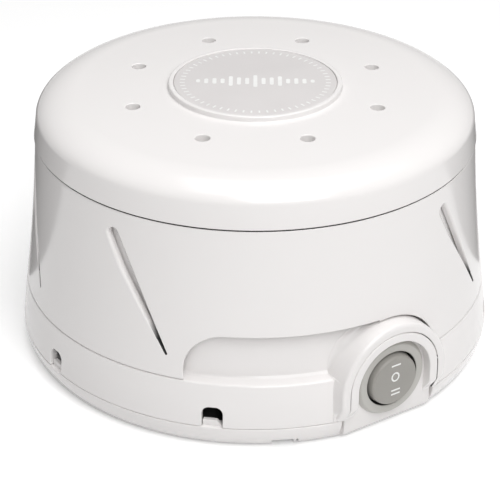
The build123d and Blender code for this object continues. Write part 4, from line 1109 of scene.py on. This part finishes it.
def makePan():
    p = panSizes
    pan, profile = makePanShell()
    addTongues(pan)
    addPosts(pan)
    hole, head, seat, end = housingSizes["screwHole"], p["screwHead"], p["screwSeat"], 12.0
    corners = [(0, below), (head, below), (head, seat), (hole, seat), (hole, end), (0, end)]
    cutter = shifted(turned("screwHole", corners, 48), y=-screwRing)
    aroundAxis(pan, ringCut, cutter, 4, 90.0, screwStart)
    for start in (-footStart, 180 - footStart):
        cutter = shifted(rod("footSeat", p["footPad"], below, p["footTop"], 64), y=-footRing)
        aroundAxis(pan, ringCut, cutter, 2, 2 * footStart, start)
    half, top = p["pryHalf"], p["pryTop"]
    outline = rounded(rectangle((-half, half), (below, top), high=0.4))
    pry = wallCutter("pry", outline, rimAt, 0.2, p["pryBack"])
    slit = boxPiece("slit", p["slit"], (-outside, -p["slitBack"]), (below, top))
    for cutter in (pry, slit):
        cutAway(pan, spun(cutter, p["pryAngle"]))
    smoothTurned(pan, profile)
    lipIn = p["lipRadius"] - p["lipWall"] + 0.3
    # painted shade: the pan's inside floor and walls go near black
    shaded(pan, "inner", lambda away, up, faces, turn: away < lipIn and up > floorHigh - 0.1 and faces > -0.5)
    return placed(pan, "base", "white_gloss", "base_pan")


makePan()
print("pan ready")

switchSizes = {
    "opening": 8.75, "barrel": 9.95, "face": 1.5, "bevel": 0.9, "bevelDrop": 1.26, "length": 22.0,
    "well": 9.0, "pin": 1.2, "pinIn": 6.25, "pinSeat": 0.6, "rocker": 8.25, "edge": 0.95, "pivotDepth": 4.6,
    "back": 2.2, "belt": 1.4, "pinHole": 1.25, "cheek": 6.15,
    "inkRise": 0.03, "inkDepth": 0.1, "stroke": 0.5, "markRound": 0.08,
    "oneBar": (0.2, 5.2, 3.2), "zeroRing": (0.1, 1.3), "zeroReach": (1.45, 1.55),
    "twoBars": ((0.35, -3.15, 3.1), (0.35, -4.45, 3.1)),
}
rockerTop = -spanOf("rocker", 1)[0]
pivotFace = rockerTop - switchSizes["pivotDepth"]


def crossways(piece, side):
    # turns an upright rod towards the left or the right
    return moved(piece, Matrix.Rotation(radians(side * 90), 4, "Y"))


def makeSwitch():
    s = switchSizes
    face, back, mouth = recessFace + s["face"], recessFace - s["length"], s["opening"]
    corners = [
        (mouth, face, 0.25), (bezelRadius - s["bevel"], face, 0.5), (bezelRadius, face - s["bevelDrop"], 0.3),
        (bezelRadius, recessFace), (s["barrel"], recessFace), (s["barrel"], back, 0.5), (0, back),
        (0, face - s["well"]), (mouth, face - s["well"], 0.3),
    ]
    profile = rounded(corners, step=60.0, arcStep=15.0)
    body = painted(turned("switch_body_shell", profile, 240), "bezel_grey")
    smoothTurned(body, profile)
    # painted shade: the well round the rocker goes near black
    shaded(body, "inner", lambda away, up, faces, turn: away < mouth + 0.02 and back + 1 < up < face - 0.3)
    facing(body, switchUp)
    placed(body, "base", "bezel_grey", "switch_body")
    for number, side in enumerate((-1, 1)):
        pin = crossways(rod("pin", s["pin"], s["pinIn"], mouth + s["pinSeat"], 48), side)
        shifted(pin, y=-pivotFace, z=switchUp)
        pin.name = f"rocker_pin_{number + 1}"
        placed(smoothByAngle(pin), "base", "bezel_grey")


def bar(name, across, up, width):
    s = switchSizes
    half, top = s["stroke"] / 2, rockerTop + s["inkRise"]
    x, y, edge = (across - width / 2, across + width / 2), (up - half, up + half), s["markRound"]
    outline = rounded(rectangle(x, y, edge, edge), step=60.0) + np.array([0, switchUp])
    return prism(name, outline, top, top - s["inkDepth"])


def makeRocker():
    s = switchSizes
    radius, edge, top = s["rocker"], s["edge"], s["pivotDepth"]
    faceRadius, back, belt = radius - edge, s["back"], s["belt"]
    corners = [
        (0, -back), (faceRadius, -back, 0.3), (radius, -belt, 0.3), (radius, belt, 1.0),
        (faceRadius + edge / 2, top - edge / 2, 0.5), (faceRadius, top, 0.3), (0, top),
    ]
    profile = rounded(corners, step=60.0, arcStep=15.0)
    rocker = turned("rocker_shell", profile, 240)
    for side in (-1, 1):
        cutAway(rocker, crossways(rod("pinHole", s["pinHole"], s["cheek"], 12.0, 48), side))
    smoothTurned(rocker, profile)
    shifted(facing(rocker, switchUp), y=-pivotFace)
    placed(rocker, "rocker", "rocker_grey", "rocker")
    marks = bar("rocker_marks", *s["oneBar"])
    for twoBar in s["twoBars"]:
        joined(marks, bar("bar", *twoBar))
    inkTop, circle = rockerTop + s["inkRise"], ringOutline(1.0, 0, 0, 64)
    middle, reach = np.array(s["zeroRing"]) + np.array([0, switchUp]), np.array(s["zeroReach"])
    ring = prism("zero", circle * reach + middle, inkTop, inkTop - s["inkDepth"])
    inner = prism("zeroInner", circle * (reach - s["stroke"]) + middle, inkTop + 1.0, inkTop - 1.0)
    joined(marks, combined(ring, inner, "DIFFERENCE"))
    placed(smoothByAngle(painted(marks, "ink")), "rocker", "white_gloss")


makeSwitch()
makeRocker()
print("switch ready")

smallSizes = {
    "badgeEdge": 0.25, "ticks": 60, "tickRing": 22.6, "tickLength": 1.5, "tickWidth": 0.5, "tickRise": 0.02,
    "tickDepth": 0.1, "bars": 15, "barPitch": 2.45, "barWidth": 1.2, "barLong": 8.6, "barShort": 2.2,
    "barWaves": 2.5, "barWaveShare": 0.38, "barsTurn": -33.1,
    "footRadius": 5.0, "footEdge": 0.35, "footDish": 0.25, "footPlay": 0.02,
    "screwHead": 3.0, "screwShank": 1.5, "screwTip": 0.8, "cross": 0.8, "crossReach": 1.9, "crossDepth": 0.55,
    "inletBore": 2.9, "inletNeck": 3.9, "inletFlange": 5.4, "inletFlangeDepth": 0.9,
}


def makeBadge():
    s = smallSizes
    low, high = spanOf("badge_disc", 2)
    corners = [(0, low), (badgeRadius, low), (badgeRadius, high, s["badgeEdge"]), (0, high)]
    profile = rounded(corners, step=60.0)
    disc = turned("badge_disc_face", profile)
    smoothTurned(disc, profile)
    placed(disc, "cap", "badge_grey", "badge_disc")
    half, ring, ends = s["tickWidth"] / 2, s["tickRing"], (high - s["tickDepth"], high + s["tickRise"])
    tick = boxPiece("tick", (-half, half), (-ring, -ring + s["tickLength"]), ends)
    marks = pattern("badge_ticks", tick, s["ticks"], 360 / s["ticks"], 0.0, "ink")
    placed(marks, "cap", "white_gloss")
    bars, half = None, (s["bars"] - 1) / 2
    for k in range(s["bars"]):
        place = (k - half) / half
        wave, calm = s["barWaveShare"], 1 - s["barWaveShare"]
        swell = cos(place * pi / 2) * (calm + wave * cos(place * pi * 2 * s["barWaves"]))
        reach = (s["barShort"] + (s["barLong"] - s["barShort"]) * swell) / 2
        wide, middle = s["barWidth"] / 2, (k - half) * s["barPitch"]
        shape = rounded(rectangle((-wide, wide), (-reach, reach), wide - 0.01, wide - 0.01), step=60.0)
        bar = upright("badge_bars", shape + np.array([middle, 0]), *ends)
        bars = joined(bars, bar) if bars else bar
    placed(smoothByAngle(spun(painted(bars, "ink"), s["barsTurn"])), "cap", "white_gloss")


def makeFeet():
    s = smallSizes
    radius, edge, dish = s["footRadius"], s["footEdge"], s["footDish"]
    top = panSizes["footTop"] - s["footPlay"]
    corners = [(0, dish), (radius * 0.6, dish, 0.3), (radius * 0.7, 0, 0.3), (radius - edge, 0, 0.2)]
    profile = rounded(corners + [(radius, edge, 0.2), (radius, top), (0, top)], step=60.0)
    foot = smoothByAngle(turned("foot", profile, 96))
    pair = pattern("footPair", shifted(foot, y=-footRing), 2, 2 * footStart, -footStart, "foot_rubber")
    feet = pattern("rubber_feet_pads", pair, 2, 180.0, 0.0, "foot_rubber")
    placed(feet, "base", "foot_rubber", "rubber_feet")


def makeScrews():
    s, seat = smallSizes, panSizes["screwSeat"]
    low, high = spanOf("housing_screws", 2)
    corners = [(0, low), (s["screwHead"], low, 0.35), (s["screwHead"], seat), (s["screwShank"], seat)]
    corners += [(s["screwShank"], high - s["screwTip"]), (0.3, high), (0, high)]
    screw = turned("screw", rounded(corners, step=60.0), 72)
    for a, b in ((s["crossReach"], s["cross"] / 2), (s["cross"] / 2, s["crossReach"])):
        cutAway(screw, boxPiece("cross", (-a, a), (-b, b), (low - 1.0, low + s["crossDepth"])))
    screw = shifted(smoothByAngle(screw), y=-screwRing)
    screws = pattern("housing_screw_set", screw, 4, 90.0, screwStart, "zinc_screw")
    placed(screws, "base", "zinc_screw", "housing_screws")


def makeInlet():
    s = smallSizes
    low, high = spanOf("cord_bushing", 1)
    bore, neck, flange = s["inletBore"], s["inletNeck"], s["inletFlange"]
    seat = high - s["inletFlangeDepth"]
    corners = [(bore, low, 0.2), (neck, low, 0.3), (neck, seat), (flange, seat)]
    profile = rounded(corners + [(flange, high, 0.5), (bore, high, 0.4)], step=60.0, arcStep=18.0)
    bushing = smoothByAngle(turned("cord_bushing_ring", profile, 120))
    facing(bushing, housingSizes["inletUp"], -90)
    placed(bushing, "base", "white_nylon", "cord_bushing")


makeBadge()
makeFeet()
makeScrews()
makeInlet()
print("small pieces ready")

studio = {
    "floorHalf": 3.0, "floorShade": 0.95, "floorRoughness": 0.06, "floorGlow": 0.25,
    "lamps": [
        {"name": "topSoftbox", "size": 1.0, "power": 6.5, "place": (0.1, -0.1, 1.1)},
        {"name": "frontSoftbox", "size": 0.7, "power": 6.9, "place": (-0.2, -0.75, 0.9)},
    ],
    "worldLevel": 0.28, "worldColour": (1.0, 0.995, 0.99),
    # dark cards on the floor beside the view; distances run across and into the view
    "cardUp": 0.0004, "cardShade": 0.03, "cardRoughness": 0.6, "cardFar": 0.45, "cardWide": 0.3,
    "cards": [
        {"name": "cardLeft", "side": -1, "near": 0.025, "gap": 0.084, "spread": 0.135},
        {"name": "cardRight", "side": 1, "near": 0.035, "gap": 0.086, "spread": 0.135},
    ],
}
view = {
    "azimuth": -33.1, "elevation": 27.92, "distance": 0.53792, "target": (0, 0, 0.0407),
    "lens": 124.77, "sensor": 36.0, "shiftX": -0.010, "shiftY": -0.092, "roll": 0.003, "clipStart": 0.05,
}


def areaLight(lamp, target=(0, 0, 0.04)):
    light = bpy.data.lights.new(lamp["name"], "AREA")
    light.shape = "SQUARE"
    light.size = lamp["size"]
    light.energy = lamp["power"]
    holder = bpy.data.objects.new(lamp["name"], light)
    holder.location = lamp["place"]
    holder.rotation_euler = (Vector(target) - Vector(lamp["place"])).to_track_quat("-Z", "Y").to_euler()
    scene.collection.objects.link(holder)


def flatPiece(name, corners, material):
    mesh = bpy.data.meshes.new(name)
    mesh.from_pydata(corners, [], [(0, 1, 2, 3)])
    mesh.materials.append(material)
    piece = bpy.data.objects.new(name, mesh)
    scene.collection.objects.link(piece)
    return piece


def makeFloor():
    material, tree = newMaterial("studioFloor")
    rays = added(tree, "ShaderNodeLightPath").outputs
    seen = {0: rays["Is Camera Ray"], 1: rays["Is Glossy Ray"]}
    seen = added(tree, "ShaderNodeMath", seen, operation="ADD", use_clamp=True).outputs[0]
    glow = added(tree, "ShaderNodeMath", {0: seen, 1: studio["floorGlow"]}, operation="MULTIPLY")
    inputs = {"Base Color": (*[studio["floorShade"]] * 3, 1), "Roughness": studio["floorRoughness"]}
    inputs |= {"Emission Color": (1, 1, 1, 1), "Emission Strength": glow.outputs[0]}
    filled(tree, tree.nodes["Principled BSDF"], inputs)
    span = (-studio["floorHalf"], studio["floorHalf"])
    floor = flatPiece("studioFloor", [(x, y, 0) for x, y, _ in rectangle(span, span)], material)


def makeCards():
    # they show only in the gloss of the sides, as dark bands along the outline
    material, tree = newMaterial("studioCard")
    inputs = {"Base Color": (*[studio["cardShade"]] * 3, 1), "Roughness": studio["cardRoughness"]}
    filled(tree, tree.nodes["Principled BSDF"], inputs)
    turn = radians(view["azimuth"])
    for card in studio["cards"]:
        near, far = card["near"], card["near"] + studio["cardFar"]
        corners = []
        for deep, wide in ((near, 0), (near, 1), (far, 1), (far, 0)):
            aside = card["side"] * (card["gap"] + card["spread"] * max(deep, 0) + wide * studio["cardWide"])
            x, y = cos(turn) * aside - sin(turn) * deep, sin(turn) * aside + cos(turn) * deep
            corners.append((x, y, studio["cardUp"]))
        if card["side"] < 0:
            corners.reverse()
        piece = flatPiece(card["name"], corners, material)
        piece.visible_camera = piece.visible_diffuse = piece.visible_shadow = False


def makeWorld():
    world = bpy.data.worlds.new("studioWorld")
    world.use_nodes = True
    scene.world = world
    tree = world.node_tree
    rays = added(tree, "ShaderNodeLightPath").outputs
    seen = {0: rays["Is Camera Ray"], 1: rays["Is Transmission Ray"]}
    seen = added(tree, "ShaderNodeMath", seen, operation="MAXIMUM").outputs[0]
    level = added(tree, "ShaderNodeMapRange", {"To Min": studio["worldLevel"], "To Max": 1.0, "Value": seen})
    inputs = {"Color": (*studio["worldColour"], 1), "Strength": level.outputs["Result"]}
    filled(tree, tree.nodes["Background"], inputs)


makeFloor()
makeCards()
makeWorld()
for lamp in studio["lamps"]:
    areaLight(lamp)
scene.view_settings.view_transform = "Standard"
print("studio ready")


def makeCamera():
    camera = bpy.data.cameras.new("camera")
    camera.sensor_width = view["sensor"]
    camera.lens = view["lens"]
    camera.shift_x = view["shiftX"]
    camera.shift_y = view["shiftY"]
    camera.clip_start = view["clipStart"]
    turn, lift = radians(view["azimuth"]), radians(view["elevation"])
    back = Vector((sin(turn) * cos(lift), -cos(turn) * cos(lift), sin(lift)))
    eye = bpy.data.objects.new("camera", camera)
    eye.location = Vector(view["target"]) + back * view["distance"]
    eye.rotation_mode = "QUATERNION"
    roll = Matrix.Rotation(view["roll"], 3, "Z").to_quaternion()
    eye.rotation_quaternion = (-back).to_track_quat("-Z", "Y") @ roll
    scene.collection.objects.link(eye)
    scene.camera = eye


makeCamera()
print("camera ready")
